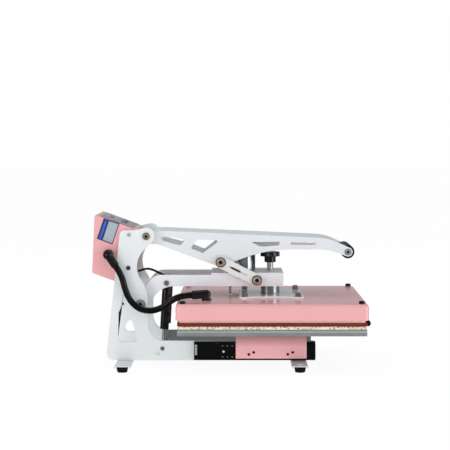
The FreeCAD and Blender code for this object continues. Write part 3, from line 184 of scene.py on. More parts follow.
# each lamp: place, aim, width and height, power, and whether only mirrored rays meet it
lamps = {
    "leftPanel": ((-1.8, -1.9, 0.75), (0.0, 0.0, 0.16), (0.62, 1.5), 9.0, False),
    "rightPanel": ((2.05, -1.6, 0.75), (0.0, 0.0, 0.16), (0.75, 1.5), 9.0, False),
    "topPanel": ((0.0, -0.35, 1.9), (0.0, 0.0, 0.15), (1.6, 0.4), 3.5, False),
    "rearPanel": ((-0.6, 2.4, 1.5), (0.0, 0.0, 0.2), (2.0, 1.0), 5.0, False),
    "rightGleam": ((0.93, -0.41, 0.17), (0.02, 0.0, 0.17), (0.62, 0.32), 1.7, True),
    "leftGleam": ((-0.80, -0.75, 0.17), (0.0, 0.0, 0.17), (0.30, 0.32), 0.7, True),
}


def lightTheRoom():
    world = bpy.data.worlds.new("whiteRoom")
    scene.world = world
    world.use_nodes = True
    tree = world.node_tree
    tree.nodes.clear()
    toward = splitXYZ(put(tree, "ShaderNodeTexCoord").outputs["Generated"])
    reach = room["mirrorReach"]
    depth = remapped(toward["Y"], room["frontMirror"], room["backMirror"], -reach, reach)
    # a bright strip just over the horizon, which only flat tops seen at a slant mirror
    strip = colourRamp(toward["Z"], [(0.0, grey(room["horizonMirror"])), (room["horizonReach"], grey(0))])
    strip = combined("MULTIPLY", strip, combined("GREATER_THAN", toward["Z"], 0.0))
    mirrorLevel = combined("MAXIMUM", depth, strip)
    lit = put(tree, "ShaderNodeBackground", {"Color": room["tint"], "Strength": room["fill"]})
    mirrored = put(tree, "ShaderNodeBackground", {"Color": room["tint"], "Strength": mirrorLevel})
    seen = put(tree, "ShaderNodeBackground", {"Color": grey(1)})
    splitByRay(tree, "ShaderNodeOutputWorld", lit, mirrored, seen)
    for name, (place, aim, size, power, glossOnly) in lamps.items():
        data = bpy.data.lights.new(name, "AREA")
        data.shape = "RECTANGLE"
        data.size, data.size_y = size
        data.energy = power
        light = bpy.data.objects.new(name, data)
        scene.collection.objects.link(light)
        light.location = place
        light.rotation_euler = (Vector(aim) - Vector(place)).to_track_quat("-Z", "Y").to_euler()
        light.visible_camera = False
        light.visible_diffuse = not glossOnly
    scene.view_settings.view_transform = "Standard"
    scene.view_settings.look = "None"


def glowingPaint(tree, glow, level):
    glow = put(tree, "ShaderNodeEmission", {"Strength": glow})
    cover = put(tree, "ShaderNodeBsdfDiffuse", {"Color": grey(level)})
    return put(tree, "ShaderNodeAddShader", {0: glow, 1: cover})


def layFloor():
    half = room["floorSize"] / 2
    z = -room["floorDrop"]
    corners = [(-half, -half, z), (half, -half, z), (half, half, z), (-half, half, z)]
    mesh = bpy.data.meshes.new("floor")
    mesh.from_pydata(corners, [], [(0, 1, 2, 3)])
    floor = bpy.data.objects.new("floor", mesh)
    scene.collection.objects.link(floor)
    finish = bpy.data.materials.new("paleFloor")
    finish.use_nodes = True
    tree = finish.node_tree
    tree.nodes.clear()
    lit = glowingPaint(tree, room["floorLift"], room["floorBounce"])
    mirrored = put(tree, "ShaderNodeEmission", {"Strength": room["floorMirror"]})
    seen = glowingPaint(tree, room["floorGlow"], room["floorPaint"])
    splitByRay(tree, "ShaderNodeOutputMaterial", lit, mirrored, seen)
    mesh.materials.append(finish)


placeCamera()
lightTheRoom()
layFloor()
print("camera, floor and lights placed")


# Shader helpers
def startMaterial(name, colour, roughness, metallic=0.0, shine=0.5):
    finish = bpy.data.materials.new(name)
    finish.use_nodes = True
    tree = finish.node_tree
    shader = tree.nodes["Principled BSDF"]
    shader.inputs["Base Color"].default_value = colour
    shader.inputs["Roughness"].default_value = roughness
    shader.inputs["Metallic"].default_value = metallic
    shader.inputs["Specular IOR Level"].default_value = shine
    return finish, shader, tree.nodes.new("ShaderNodeTexCoord").outputs["Object"]


def coated(shader, colour, roughness=None):
    links = shader.id_data.links
    links.new(colour, shader.inputs["Base Color"])
    if roughness is not None:
        links.new(roughness, shader.inputs["Roughness"])


def stretched(coords, scale):
    return put(coords.id_data, "ShaderNodeMapping", {"Scale": scale, "Vector": coords}).outputs["Vector"]


def noiseOf(coords, scale, detail=2.0, rough=0.5):
    return put(coords.id_data, "ShaderNodeTexNoise", {"Scale": scale, "Detail": detail, "Roughness": rough,
                                                      "Vector": coords}).outputs["Fac"]


# A shade that drifts between two over a cloud of the given scale
def drifting(coords, low, high, scale, detail=2.0, rough=0.5):
    return mixed(remapped(noiseOf(coords, scale, detail, rough), 0.0, 1.0), low, high)


def cellsOf(coords, scale, **fields):
    return put(coords.id_data, "ShaderNodeTexVoronoi", {"Scale": scale, "Vector": coords}, **fields).outputs


def bumped(shader, height, strength, depth):
    tree = shader.id_data
    node = put(tree, "ShaderNodeBump", {"Strength": strength, "Distance": depth, "Height": height})
    tree.links.new(node.outputs["Normal"], shader.inputs["Normal"])


def toned(colour, gain):
    return (*(min(1.0, part * gain) for part in colour[:3]), 1.0)


def facingOf(coords):
    return splitXYZ(coords.node.outputs["Normal"])


# 1 on the faces of paired sheets that look to the middle of the object, 0 on their outer faces
innerFaceLimit = -20 * mm


def towardMiddle(coords):
    product = combined("MULTIPLY", splitXYZ(coords)["Y"], facingOf(coords)["Y"])
    return combined("LESS_THAN", product, innerFaceLimit)


# 1 in the part of the object that lies over low and under high, on an axis of the object's own frame
def within(coords, axis, low, high, blur=1.5 * mm):
    place = splitXYZ(coords)[axis]
    over = remapped(place, 0.0, 1.0, low - blur, low + blur)
    under = remapped(place, 1.0, 0.0, high - blur, high + blur)
    return combined("MULTIPLY", over, under)


# Powder coat: faint drift in shade and the fine orange peel of a baked coat; optionally painted light on
# inner faces, a painted highlight on upright faces and a band of painted shadow
def powderCoat(name, colour, roughness, peel=0.10, innerColour=None, smoke=None, rimColour=None):
    finish, shader, coords = startMaterial(name, colour, roughness)
    shade = drifting(coords, toned(colour, 0.975), toned(colour, 1.015), 9.0, 3.0)
    # painted light: faces towards the middle take a brighter colour
    if innerColour:
        inner = towardMiddle(coords)
        shade = mixed(inner, shade, innerColour)
    # painted highlight: upright faces take a lighter colour
    if rimColour:
        upright = remapped(facingOf(coords)["Z"], 1.0, 0.0, 0.6, 0.8)
        shade = mixed(upright, shade, rimColour)
    # painted shade: a band of the object, on inner faces where given, takes a darker colour
    if smoke:
        mask = within(coords, "Z", *smoke["z"], blur=smoke["blur"])
        if "x" in smoke:
            mask = combined("MULTIPLY", mask, within(coords, "X", *smoke["x"]))
        if innerColour:
            mask = combined("MULTIPLY", mask, inner)
        shade = mixed(mask, shade, smoke["colour"])
    grain = noiseOf(coords, 900.0)
    coated(shader, shade, remapped(grain, roughness - 0.04, roughness + 0.05))
    bumped(shader, grain, peel, 0.05 * mm)
    return finish


# Bare metal drawn or turned along one axis
def drawnMetal(name, colour, roughness, scale, streak=0.16, depth=0.01):
    finish, shader, coords = startMaterial(name, colour, roughness, 1.0)
    lines = noiseOf(stretched(coords, scale), 1.0, 4.0, 0.6)
    coated(shader, drifting(coords, toned(colour, 0.9), toned(colour, 1.06), 35.0, 3.0),
           remapped(lines, roughness - streak / 2, roughness + streak / 2))
    bumped(shader, lines, 0.12, depth * mm)
    return finish


# Plated or oiled steel that scatters part of its light
def platedMetal(name, colour, roughness, metallic, blotch=0.8):
    finish, shader, coords = startMaterial(name, colour, roughness, metallic)
    grain = noiseOf(coords, 900.0)
    coated(shader, drifting(coords, toned(colour, blotch), toned(colour, 1.1), 260.0, 3.0, 0.6),
           remapped(grain, roughness - 0.06, roughness + 0.08))
    bumped(shader, grain, 0.12, 0.02 * mm)
    return finish


# Moulded rubber or plastic: near black, with a spark-eroded grain
def mouldedBlack(name, colour, roughness, grainScale, grainDepth, shine=0.5):
    finish, shader, coords = startMaterial(name, colour, roughness, shine=shine)
    grain = noiseOf(coords, grainScale, 3.0, 0.6)
    coated(shader, drifting(coords, toned(colour, 0.8), toned(colour, 1.5), 22.0),
           remapped(grain, roughness - 0.05, roughness + 0.08))
    bumped(shader, grain, 0.25, grainDepth * mm)
    return finish


# Open-cell silicone foam with crumbs of other colours pressed into it
crumbColours = [(0.0, paint(120, 112, 90)), (0.25, paint(176, 106, 58)), (0.45, paint(150, 168, 140)),
                (0.6, paint(226, 214, 190)), (0.85, paint(92, 84, 78))]


def speckledSilicone():
    finish, shader, coords = startMaterial("creamSilicone", paint(228, 220, 203), 0.75)
    ground = drifting(coords, paint(206, 199, 178), paint(240, 231, 214), 60.0, 4.0)
    cells = cellsOf(coords, 240.0)
    crumb = remapped(cells["Distance"], 1.0, 0.0, 0.30, 0.42)
    pick = put(coords.id_data, "ShaderNodeSeparateColor", {"Color": cells["Color"]}).outputs["Red"]
    coated(shader, mixed(crumb, ground, colourRamp(pick, crumbColours, "CONSTANT")))
    bumped(shader, noiseOf(coords, 480.0, 3.0, 0.7), 0.5, 0.35 * mm)
    shader.inputs["Subsurface Weight"].default_value = 0.08
    shader.inputs["Subsurface Radius"].default_value = (0.004, 0.003, 0.002)
    return finish


# Cast and milled aluminium: dull grey with fine milling lines, and painted highlights in bands along its
# upper edge where the chamfer catches light
platenEdgeHighlights = [(82.6 * mm, 84.4 * mm, paint(170, 180, 174)), (86.6 * mm, 87.6 * mm, paint(148, 152, 146))]


def milledAluminium():
    finish, shader, coords = startMaterial("milledAluminium", paint(150, 160, 166), 0.5, 0.35)
    lines = noiseOf(stretched(coords, (25.0, 900.0, 900.0)), 1.0, 3.0)
    shade = drifting(coords, paint(132, 139, 141), paint(150, 156, 158), 18.0, 4.0)
    height = splitXYZ(coords)["Z"]
    for start, end, colour in platenEdgeHighlights:
        shade = mixed(remapped(height, 0.0, 1.0, start, end), shade, colour)
    coated(shader, shade, remapped(lines, 0.42, 0.6))
    bumped(shader, lines, 0.12, 0.03 * mm)
    return finish


def woolMat():
    finish, shader, coords = startMaterial("woolMat", paint(222, 216, 202), 0.95)
    fibre = noiseOf(stretched(coords, (180.0, 900.0, 500.0)), 1.0, 5.0, 0.7)
    coated(shader, mixed(remapped(fibre, 0.0, 1.0), paint(196, 188, 168), paint(238, 234, 224)))
    bumped(shader, fibre, 0.8, 0.6 * mm)
    shader.inputs["Sheen Weight"].default_value = 0.3
    return finish


def boardLaminate():
    finish, shader, coords = startMaterial("boardLaminate", paint(28, 92, 52), 0.3)
    tracks = cellsOf(coords, 160.0, distance="CHEBYCHEV", feature="F1")
    line = remapped(tracks["Distance"], 0.0, 1.0, 0.32, 0.36)
    coated(shader, mixed(line, paint(24, 84, 46), paint(52, 122, 74)))
    return finish


# Films and thin coats: a cloud of two colours, with a fine grain where one is given
def thinCoat(name, colour, roughness, low, high, scale, detail=2.0, grain=None, shine=0.5):
    finish, shader, coords = startMaterial(name, colour, roughness, shine=shine)
    coated(shader, drifting(coords, low, high, scale, detail))
    if grain:
        bumped(shader, noiseOf(coords, grain), 0.15, 0.03 * mm)
    return finish


# Flat ink coat: print on the plates and keys, and painted shade for the link marks
def inkAndPaintedShade(name, colour, roughness=0.45):
    return thinCoat(name, colour, roughness, toned(colour, 0.93), toned(colour, 1.05), 120.0, 3.0)


def smokedWindow():
    finish = thinCoat("smokedWindow", paint(104, 104, 112), 0.12, paint(112, 108, 117), paint(126, 120, 130),
                      40.0)
    shader = finish.node_tree.nodes["Principled BSDF"]
    shader.inputs["Coat Weight"].default_value = 0.6
    shader.inputs["Coat Roughness"].default_value = 0.04
    return finish


# Screws in the side plates: painted over low down, dark at mid height, bright zinc at the top
screwZones = {
    "painted": paint(226, 230, 231),
    "dark": paint(58, 58, 66),
    "zinc": paint(176, 182, 186),
    "darkFrom": (60 * mm, 61 * mm),
    "zincFrom": (240 * mm, 241 * mm),
}


def sidePlateScrews():
    finish, shader, coords = startMaterial("sidePlateScrews", paint(60, 60, 66), 0.3)
    height = splitXYZ(coords)["Z"]
    low = remapped(height, 0.0, 1.0, *screwZones["darkFrom"])
    high = remapped(height, 0.0, 1.0, *screwZones["zincFrom"])
    shade = mixed(low, screwZones["painted"], screwZones["dark"])
    shade = mixed(high, shade, screwZones["zinc"])
    grain = remapped(noiseOf(coords, 700.0), 0.93, 1.05)
    varied = put(coords.id_data, "ShaderNodeVectorMath", {0: shade, 1: grain}, operation="MULTIPLY")
    coated(shader, varied.outputs["Vector"])
    return finish


# Painted light: inner faces of paired sheets take this brighter white than their outer coat, for the bounce
# light between the sheets
innerLitWhite = (0.90, 0.985, 0.99, 1.0)
# Painted shadow: darker bands low on the inner faces under the platen, and over the upper part of the slide
# brackets under the platen
shadowUnderPlaten = {"z": (18 * mm, 58 * mm), "x": (-150 * mm, 178 * mm), "blur": 3.0 * mm,
               "colour": paint(124, 126, 125)}
shadedBracket = {"z": (56 * mm, 90 * mm), "blur": 13.0 * mm, "colour": (0.36, 0.155, 0.158, 1.0)}
# The arm plates take a lighter copy of the white coat: painted light that makes up for the shade they sit in
litArmCoat = powderCoat("armPowderCoat", (0.86, 0.89, 0.93, 1.0), 0.36, innerColour=innerLitWhite)
blackSteel = mouldedBlack("blackOxideSteel", paint(18, 15, 18), 0.38, 900.0, 0.02, 0.25)
keyRubber = mouldedBlack("greyKeyRubber", paint(104, 102, 110), 0.45, 500.0, 0.05)
blackPlastic = mouldedBlack("blackNylon", paint(9, 9, 10), 0.26, 650.0, 0.04)
blackRubber = mouldedBlack("blackRubber", paint(11, 11, 12), 0.50, 500.0, 0.08, 0.3)
hoseRubber = mouldedBlack("blackHose", paint(4, 4, 5), 0.24, 420.0, 0.05, 0.35)
boltFace = platedMetal("boltFace", paint(196, 182, 164), 0.24, 0.45, 0.55)
boltRim = platedMetal("boltRim", paint(66, 58, 50), 0.34, 0.6)
boltBrass = platedMetal("brassyBoltFace", paint(176, 166, 128), 0.22, 0.6, 0.5)
boltGrey = platedMetal("greyBoltFace", paint(176, 178, 180), 0.26, 0.45, 0.7)
stemSteel = platedMetal("screwStem", paint(216, 222, 222), 0.2, 0.5, 0.85)
cageZinc = platedMetal("ballCageZinc", paint(214, 216, 216), 0.3, 0.15, 0.92)
brightSteel = drawnMetal("brightTurnedSteel", paint(214, 215, 218), 0.20, (120.0, 120.0, 1400.0))
sheetSteel = drawnMetal("satinSheetSteel", paint(196, 200, 206), 0.36, (900.0, 40.0, 900.0))
silicone = speckledSilicone()
wool = woolMat()

finishOf = {
    "white_paint": powderCoat("whitePowderCoat", (0.735, 0.765, 0.775, 1.0), 0.36, innerColour=innerLitWhite,
                              smoke=shadowUnderPlaten),
    "pink_paint": powderCoat("pinkPowderCoat", (0.80, 0.395, 0.408, 1.0), 0.17, 0.04),
    "black_rail": mouldedBlack("blackRailCoat", paint(7, 7, 6), 0.42, 900.0, 0.03, 0.2),
    "black_rubber": blackRubber,
    "black_plastic": blackPlastic,
    "zinc_steel": drawnMetal("zincPlate", paint(196, 198, 202), 0.30, (500.0, 500.0, 60.0)),
    "bolt_steel": platedMetal("boltNickel", paint(150, 132, 116), 0.26, 0.6),
    "black_steel": blackSteel,
    "bright_steel": brightSteel,
    "chrome": drawnMetal("chromePlate", paint(222, 223, 226), 0.07, (80.0, 80.0, 400.0), 0.04, 0.002),
    "platen_aluminium": milledAluminium(),
    "red_coating": thinCoat("redNonStick", paint(136, 48, 26), 0.5, paint(112, 36, 14), paint(128, 43, 19),
                            40.0, 4.0, 1200.0, 0.15),
    "cream_silicone": silicone,
    "mineral_wool": wool,
    "circuit_board": boardLaminate(),
    "grey_film": thinCoat("panelFilm", paint(166, 168, 174), 0.4, paint(146, 142, 152), paint(164, 158, 168),
                          12.0, grain=1500.0),
    "tinted_window": smokedWindow(),
}
ownFinish = {
    "side_links": powderCoat("linkPowderCoat", (0.80, 0.83, 0.82, 1.0), 0.34),
    "gas_spring_cylinders": mouldedBlack("blackGlossCoat", paint(8, 8, 9), 0.16, 1200.0, 0.01),
    "magnet_keeper": powderCoat("darkBracketCoat", paint(52, 58, 62), 0.35, 0.15),
    # Bridge plate: its upright faces are painted a lighter white, a painted highlight along its edge
    "bridge_plate": powderCoat("bridgePlateCoat", (0.70, 0.73, 0.75, 1.0), 0.07, 0.02,
                               rimColour=(0.97, 0.98, 0.98, 1.0)),
    "bridge_studs": platedMetal("nutZinc", paint(158, 150, 142), 0.16, 0.85, 0.7),
    "pressure_cup": platedMetal("turnedCupSteel", paint(150, 156, 160), 0.24, 0.9, 0.9),
    # Slide brackets: a lighter copy of the pink coat as painted light, with painted shadow of the platen over
    # their upper part
    "slide_brackets": powderCoat("bracketPowderCoat", (0.95, 0.47, 0.49, 1.0), 0.3, smoke=shadedBracket),
    "arm_plate_left": litArmCoat,
    "arm_plate_right": litArmCoat,
    "arm_top_plate": litArmCoat,
    "handle_frame": powderCoat("handlePowderCoat", (0.735, 0.775, 0.80, 1.0), 0.36, innerColour=innerLitWhite),
    "electromagnet": platedMetal("magnetCase", paint(142, 148, 152), 0.14, 0.9, 0.85),
    "frame_screws": sidePlateScrews(),
    # The heated platen's edge is painted a light cream: painted light for the shaded aluminium edge catching
    # the light
    "heat_platen": powderCoat("bakedPlatenEdge", paint(244, 206, 198), 0.42),
    "menu_button": keyRubber,
    "down_button": keyRubber,
    "up_button": keyRubber,
}


def finishFor(node):
    return ownFinish.get(node, finishOf[slotOf[node]])


for name, node in nodes.items():
    for part in node.material_slots:
        part.material = finishFor(name)
print("finishes:", len(bpy.data.materials))


# Mesh helpers
def newPiece(name, mesh, finish):
    mesh.materials.clear()
    mesh.materials.append(finish)
    piece = bpy.data.objects.new(name, mesh)
    scene.collection.objects.link(piece)
    return piece


def fromBmesh(name, shape, finish, smooth=True):
    mesh = bpy.data.meshes.new(name)
    shape.to_mesh(mesh)
    shape.free()
    mesh.polygons.foreach_set("use_smooth", [smooth] * len(mesh.polygons))
    return newPiece(name, mesh, finish)


def meshOf(carrier, **options):
    depsgraph = bpy.context.evaluated_depsgraph_get()
    return bpy.data.meshes.new_from_object(carrier.evaluated_get(depsgraph), depsgraph=depsgraph, **options)


# A piece rides the body of its node, and takes the node's place or stands on it
def settle(piece, node, inPlace=False):
    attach(piece, nodes[node]["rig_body"])
    if inPlace:
        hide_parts(node)
    return piece


def circle(count):
    for step in range(count):
        turn = 2 * math.pi * step / count
        yield math.cos(turn), math.sin(turn)


# A skin over rings of points; its two ends are capped, or joined to each other
def skinned(name, rings, finish, joined=False, smooth=True):
    shape = bmesh.new()
    loops = [[shape.verts.new(place) for place in ring] for ring in rings]
    for first, second in zip(loops, loops[1:] + loops[:1] if joined else loops[1:]):
        for step in range(len(first)):
            after = (step + 1) % len(first)
            shape.faces.new((first[step], first[after], second[after], second[step]))
    if not joined:
        shape.faces.new(list(reversed(loops[0])))
        shape.faces.new(loops[-1])
    bmesh.ops.recalc_face_normals(shape, faces=shape.faces)
    return fromBmesh(name, shape, finish, smooth)


softening = {
    "mergeGap": 0.004 * mm,
    "flatAngle": math.radians(0.35),
    "bevelAngle": math.radians(35),
    "sharpAngle": math.radians(20),
}


def edged(piece, width):
    bevel = piece.modifiers.new("edges", "BEVEL")
    bevel.width = width
    bevel.segments = 2
    bevel.limit_method = "ANGLE"
    bevel.angle_limit = softening["bevelAngle"]
    bevel.use_clamp_overlap = False
    bevel.miter_outer = "MITER_ARC"
    mesh = meshOf(piece, preserve_all_data_layers=True)
    piece.modifiers.clear()
    piece.data = mesh
    mesh.set_sharp_from_angle(angle=softening["sharpAngle"])


# A copy of a folded, cut or turned piece with its sharp edges broken, as a coated edge is
def softened(node, width):
    first, *others = node.split("_")
    name = first + "".join(word.capitalize() for word in others)
    source = nodes[node].data
    shape = bmesh.new()
    corners = [shape.verts.new(vertex.co) for vertex in source.vertices]
    for face in source.polygons:
        shape.faces.new([corners[index] for index in face.vertices])
    bmesh.ops.remove_doubles(shape, verts=shape.verts, dist=softening["mergeGap"])
    if node in headSeats:
        for side in sides.values():
            everything = list(shape.verts) + list(shape.edges) + list(shape.faces)
            cut = bmesh.ops.bisect_plane(shape, geom=everything, plane_co=(0, side * headSeats[node] * mm, 0),
                                         plane_no=(0, side, 0), clear_outer=True)
            rim = [item for item in cut["geom_cut"] if isinstance(item, bmesh.types.BMEdge)]
            bmesh.ops.contextual_create(shape, geom=rim)
    bmesh.ops.dissolve_limit(shape, angle_limit=softening["flatAngle"], verts=shape.verts,
                             edges=shape.edges, delimit=set())
    piece = fromBmesh(name, shape, finishFor(node))
    edged(piece, width)
    settle(piece, node, inPlace=True)


# Bolts of the joints, in mm: their modelled heads are cut off at the seats and turned anew further down
capBolts = {
    "linkLowerBolt": {"at": (51.5, 177.8), "seat": 78.0, "node": "link_lower_bolts",
                      "rim": (10.6, 2.2), "head": (8.7, 6.9, 2.2), "socket": 4.4, "finish": boltFace},
    "linkUpperBolt": {"at": (-24.0, 215.4), "seat": 78.3, "node": "link_upper_bolts",
                      "rim": (10.6, 2.2), "head": (8.7, 6.9, 2.2), "socket": 4.4, "finish": boltFace},
    "handleBolt": {"at": (-178.2, 270.0), "seat": 90.0, "node": "pivot_shafts",
                   "rim": (7.6, 1.6), "head": (6.5, 4.9, 1.6), "socket": 3.2, "finish": boltBrass},
    "armBolt": {"at": (-190.0, 129.7), "seat": 90.0, "node": "pivot_shafts",
                "rim": (9.6, 1.4), "head": (8.6, 5.0, 2.0), "socket": 4.2, "finish": boltGrey},
    "gripBolt": {"at": (241.5, 236.0), "seat": 68.0, "node": "grip_tube",
                 "rim": (6.8, 1.5), "head": (6.0, 3.2, 1.2), "socket": 3.0, "finish": boltGrey},
}
headSeats = {bolt["node"]: bolt["seat"] for bolt in capBolts.values()}

# Pieces with broken edges, and how wide the edges are in mm
softenedPieces = {
    "side_plate_left": 0.6, "side_plate_right": 0.6, "arm_plate_left": 0.6, "arm_plate_right": 0.6,
    "arm_top_plate": 0.6, "arm_bottom_plate": 0.5, "handle_frame": 0.5, "side_links": 0.5,
    "rear_spreader": 0.5, "cross_bars": 0.4, "control_box_shell": 0.3, "control_box_sides": 0.3,
    "control_panel": 0.3, "head_cover": 0.3, "lower_platen": 0.6, "heat_platen": 0.5, "coated_face": 0.6,
    "bridge_plate": 0.5, "magnet_keeper": 0.5, "electromagnet": 0.4, "pressure_cup": 0.6,
    "pressure_knob": 0.9, "nut_block": 0.5, "rubber_feet": 0.8, "gas_spring_cylinders": 0.5,
    "power_inlet": 0.3, "power_switch": 0.3, "link_upper_bolts": 0.3, "link_lower_bolts": 0.3,
    "pivot_shafts": 0.3, "grip_tube": 0.3, "bridge_studs": 0.4,
}
for node, width in softenedPieces.items():
    softened(node, width * mm)
print("softened pieces:", len(softenedPieces))


# Cords
cordMesh = {"steps": 16, "around": 28}
conduit = {
    "points": [(-240.20, -103, 209.77), (-227.90, -103, 191.53), (-221.5, -103.6, 165),
               (-211.5, -104.6, 139.5), (-191.5, -106, 121), (-165.3, -108, 117), (-139.9, -111, 126.4),
               (-123.6, -114.2, 140.9), (-104.17, -117, 149.89), (-82.23, -117, 151.42)],
    "diameter": 13.0,
    "length": 221.0,
    "bendStart": (-0.232, -0.105, 0.150),
    "bendEnd": (-0.112, -0.114, 0.150),
}
magnetLead = {
    "points": [(-206, -35, 193.5), (-196, -35, 193.5), (-180, -35.1, 199.5), (-164, -35.3, 195.5),
               (-140, -35.6, 182.5), (-104, -35, 174.6), (-62, -32, 175.6), (-24, -18, 181), (10, -18, 181)],
    "diameter": 4.6,
    "length": 223.1,
    "bendStart": (-0.196, -0.035, 0.190),
    "bendEnd": (-0.100, -0.035, 0.190),
}


def linePoints(name, points):
    curve = bpy.data.curves.new(name, "CURVE")
    curve.dimensions = "3D"
    curve.resolution_u = cordMesh["steps"]
    spline = curve.splines.new("NURBS")
    spline.points.add(len(points) - 1)
    for place, point in zip(points, spline.points):
        point.co = (*(value * mm for value in place), 1.0)
    spline.order_u = 3
    spline.use_endpoint_u = True
    carrier = bpy.data.objects.new(name, curve)
    scene.collection.objects.link(carrier)
    path = [vertex.co.copy() for vertex in meshOf(carrier).vertices]
    bpy.data.objects.remove(carrier)
    return path


def tubeAlong(name, path, radius, finish):
    side = None
    rings = []
    for index, centre in enumerate(path):
        ahead = path[min(index + 1, len(path) - 1)]
        behind = path[max(index - 1, 0)]
        along = (ahead - behind).normalized()
        if side is None:
            side = along.orthogonal().normalized()
        side = (side - along * side.dot(along)).normalized()
        other = along.cross(side)
        rings.append([centre + (side * cos + other * sin) * radius
                      for cos, sin in circle(cordMesh["around"])])
    return skinned(name, rings, finish)


def layCord(name, facts, node, finish):
    path = linePoints(name + "Line", facts["points"])
    cord = tubeAlong(name, path, facts["diameter"] / 2 * mm, finish)
    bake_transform(cord)
    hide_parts(node)


layCord("headConduit", conduit, "conduit", hoseRubber)
layCord("magnetLead", magnetLead, "magnet_wire", blackRubber)
print("cords laid")


# Soft pieces: each is a stack of rounded outlines, pushed about a little as foam and felt are
softPads = {
    "siliconePad": {"node": "silicone_pad", "edge": 1.6 * mm, "push": 0.5 * mm, "grain": 420.0,
                    "gap": 3.0 * mm, "finish": silicone, "fill": 1.0},
    "insulationMat": {"node": "insulation", "edge": 3.0 * mm, "push": 1.2 * mm, "grain": 160.0,
                      "gap": 6.0 * mm, "finish": wool, "fill": 0.8},
}
padShape = {"corner": 5 * mm, "cornerSteps": 6, "edgeSteps": 4, "middles": (0.4, 0.5, 0.6)}


def roundedOutline(low, high):
    reach = padShape["corner"]
    steps = padShape["cornerSteps"]
    points = []
    for cx, cy, first in ((high.x, high.y, 0), (low.x, high.y, 90), (low.x, low.y, 180),
                          (high.x, low.y, 270)):
        sx = -1 if cx == high.x else 1
        sy = -1 if cy == high.y else 1
        centre = Vector((cx + sx * reach, cy + sy * reach, 0))
        for step in range(steps + 1):
            turn = math.radians(first + 90 * step / steps)
            points.append(centre + Vector((math.cos(turn), math.sin(turn), 0)) * reach)
    return points


def evenly(points, gap):
    spread = []
    for first, second in zip(points, points[1:] + points[:1]):
        count = max(1, round((second - first).length / gap))
        spread += [first.lerp(second, step / count) for step in range(count)]
    return spread


def softSlab(name, soft):
    low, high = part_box(soft["node"])
    edge = soft["edge"]
    levels = []
    for step in range(padShape["edgeSteps"] + 1):
        turn = math.radians(90 * step / padShape["edgeSteps"])
        levels.append((edge * (1 - math.sin(turn)), low.z + edge * (1 - math.cos(turn))))
    middle = [(0, low.z + (high.z - low.z) * share) for share in padShape["middles"]]
    upper = [(inward, low.z + high.z - z) for inward, z in reversed(levels)]
    outline = evenly(roundedOutline(low, high), soft["gap"])
    centre = (low + high) / 2
    rings = []
    for inward, z in levels + middle + upper:
        ring = []
        for point in outline:
            out = Vector((point.x - centre.x, point.y - centre.y, 0))
            if abs(out.x) > abs(out.y):
                away = Vector((1 if out.x > 0 else -1, 0, 0))
            else:
                away = Vector((0, 1 if out.y > 0 else -1, 0))
            place = Vector((point.x, point.y, z)) - away * inward
            nudge = noise.noise(place * soft["grain"]) * soft["push"]
            ring.append(place + away * (min(nudge, 0.0)))
        rings.append(ring)
    return settle(skinned(name, rings, soft["finish"]), soft["node"], inPlace=True)


for name, soft in softPads.items():
    softSlab(name, soft)


# The rubber roll is turned about the grip's axis, with rounded ends and shallow waists
grip = {"endRound": 2.2 * mm, "rings": 44, "around": 56, "waist": 0.25 * mm, "waists": 9, "clear": 0.1 * mm}


def gripRoll():
    low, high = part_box("grip_roll")
    tubeLow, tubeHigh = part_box("grip_tube")
    centre = (low + high) / 2
    outer = (high.z - low.z) / 2
    inner = (tubeHigh.z - tubeLow.z) / 2 + grip["clear"]
    half = (high.y - low.y) / 2
    profile = []
    for step in range(grip["rings"] + 1):
        y = -half + 2 * half * step / grip["rings"]
        fromEnd = half - abs(y)
        radius = outer
        if fromEnd < grip["endRound"]:
            lost = grip["endRound"] - fromEnd
            radius -= grip["endRound"] - math.sqrt(grip["endRound"] ** 2 - lost ** 2)
        radius -= grip["waist"] * (0.5 + 0.5 * math.cos(math.pi * grip["waists"] * y / half))
        profile.append((y, radius))
    profile += [(half, inner), (-half, inner)]
    rings = [[(centre.x + radius * cos, y, centre.z + radius * sin) for cos, sin in circle(grip["around"])]
             for y, radius in profile]
    settle(skinned("gripRoll", rings, blackRubber, joined=True), "grip_roll", inPlace=True)


gripRoll()
print("soft pieces made")


# Four small Geometry Nodes trees, from which the details below are grown
def newTree(name, sizes, repeats=False):
    tree = bpy.data.node_groups.new(name, "GeometryNodeTree")
    tree.interface.new_socket(name="Geometry", in_out="OUTPUT", socket_type="NodeSocketGeometry")
    if repeats:
        tree.interface.new_socket(name="Geometry", in_out="INPUT", socket_type="NodeSocketGeometry")
    kinds = {float: "NodeSocketFloat", int: "NodeSocketInt", tuple: "NodeSocketVector"}
    for label, value in sizes.items():
        socket = tree.interface.new_socket(name=label, in_out="INPUT", socket_type=kinds[type(value)])
        socket.default_value = value
    tree.interface.new_socket(name="Finish", in_out="INPUT", socket_type="NodeSocketMaterial")
    return tree, tree.nodes.new("NodeGroupInput").outputs


def closeTree(tree, inputs, geometry):
    real = put(tree, "GeometryNodeRealizeInstances", {"Geometry": geometry})
    finish = put(tree, "GeometryNodeSetMaterial", {"Geometry": real, "Material": inputs["Finish"]})
    put(tree, "NodeGroupOutput", {"Geometry": finish})
    return tree


def threadTree():
    tree, inputs = newTree("screwThread", {"Foot": (0.0, 0.0, 0.0), "Radius": 0.005, "Pitch": 0.001,
                                           "Height": 0.02, "Depth": 0.0005})
    turns = combined("DIVIDE", inputs["Height"], inputs["Pitch"])
    spiral = put(tree, "GeometryNodeCurveSpiral", {
        "Resolution": 28, "Rotations": turns, "Start Radius": inputs["Radius"],
        "End Radius": inputs["Radius"], "Height": inputs["Height"]})
    ridge = put(tree, "GeometryNodeCurvePrimitiveCircle", {"Resolution": 4, "Radius": inputs["Depth"]})
    sweep = put(tree, "GeometryNodeCurveToMesh", {"Curve": spiral, "Profile Curve": ridge, "Fill Caps": True})
    place = put(tree, "GeometryNodeTransform", {"Geometry": sweep, "Translation": inputs["Foot"]})
    return closeTree(tree, inputs, place)


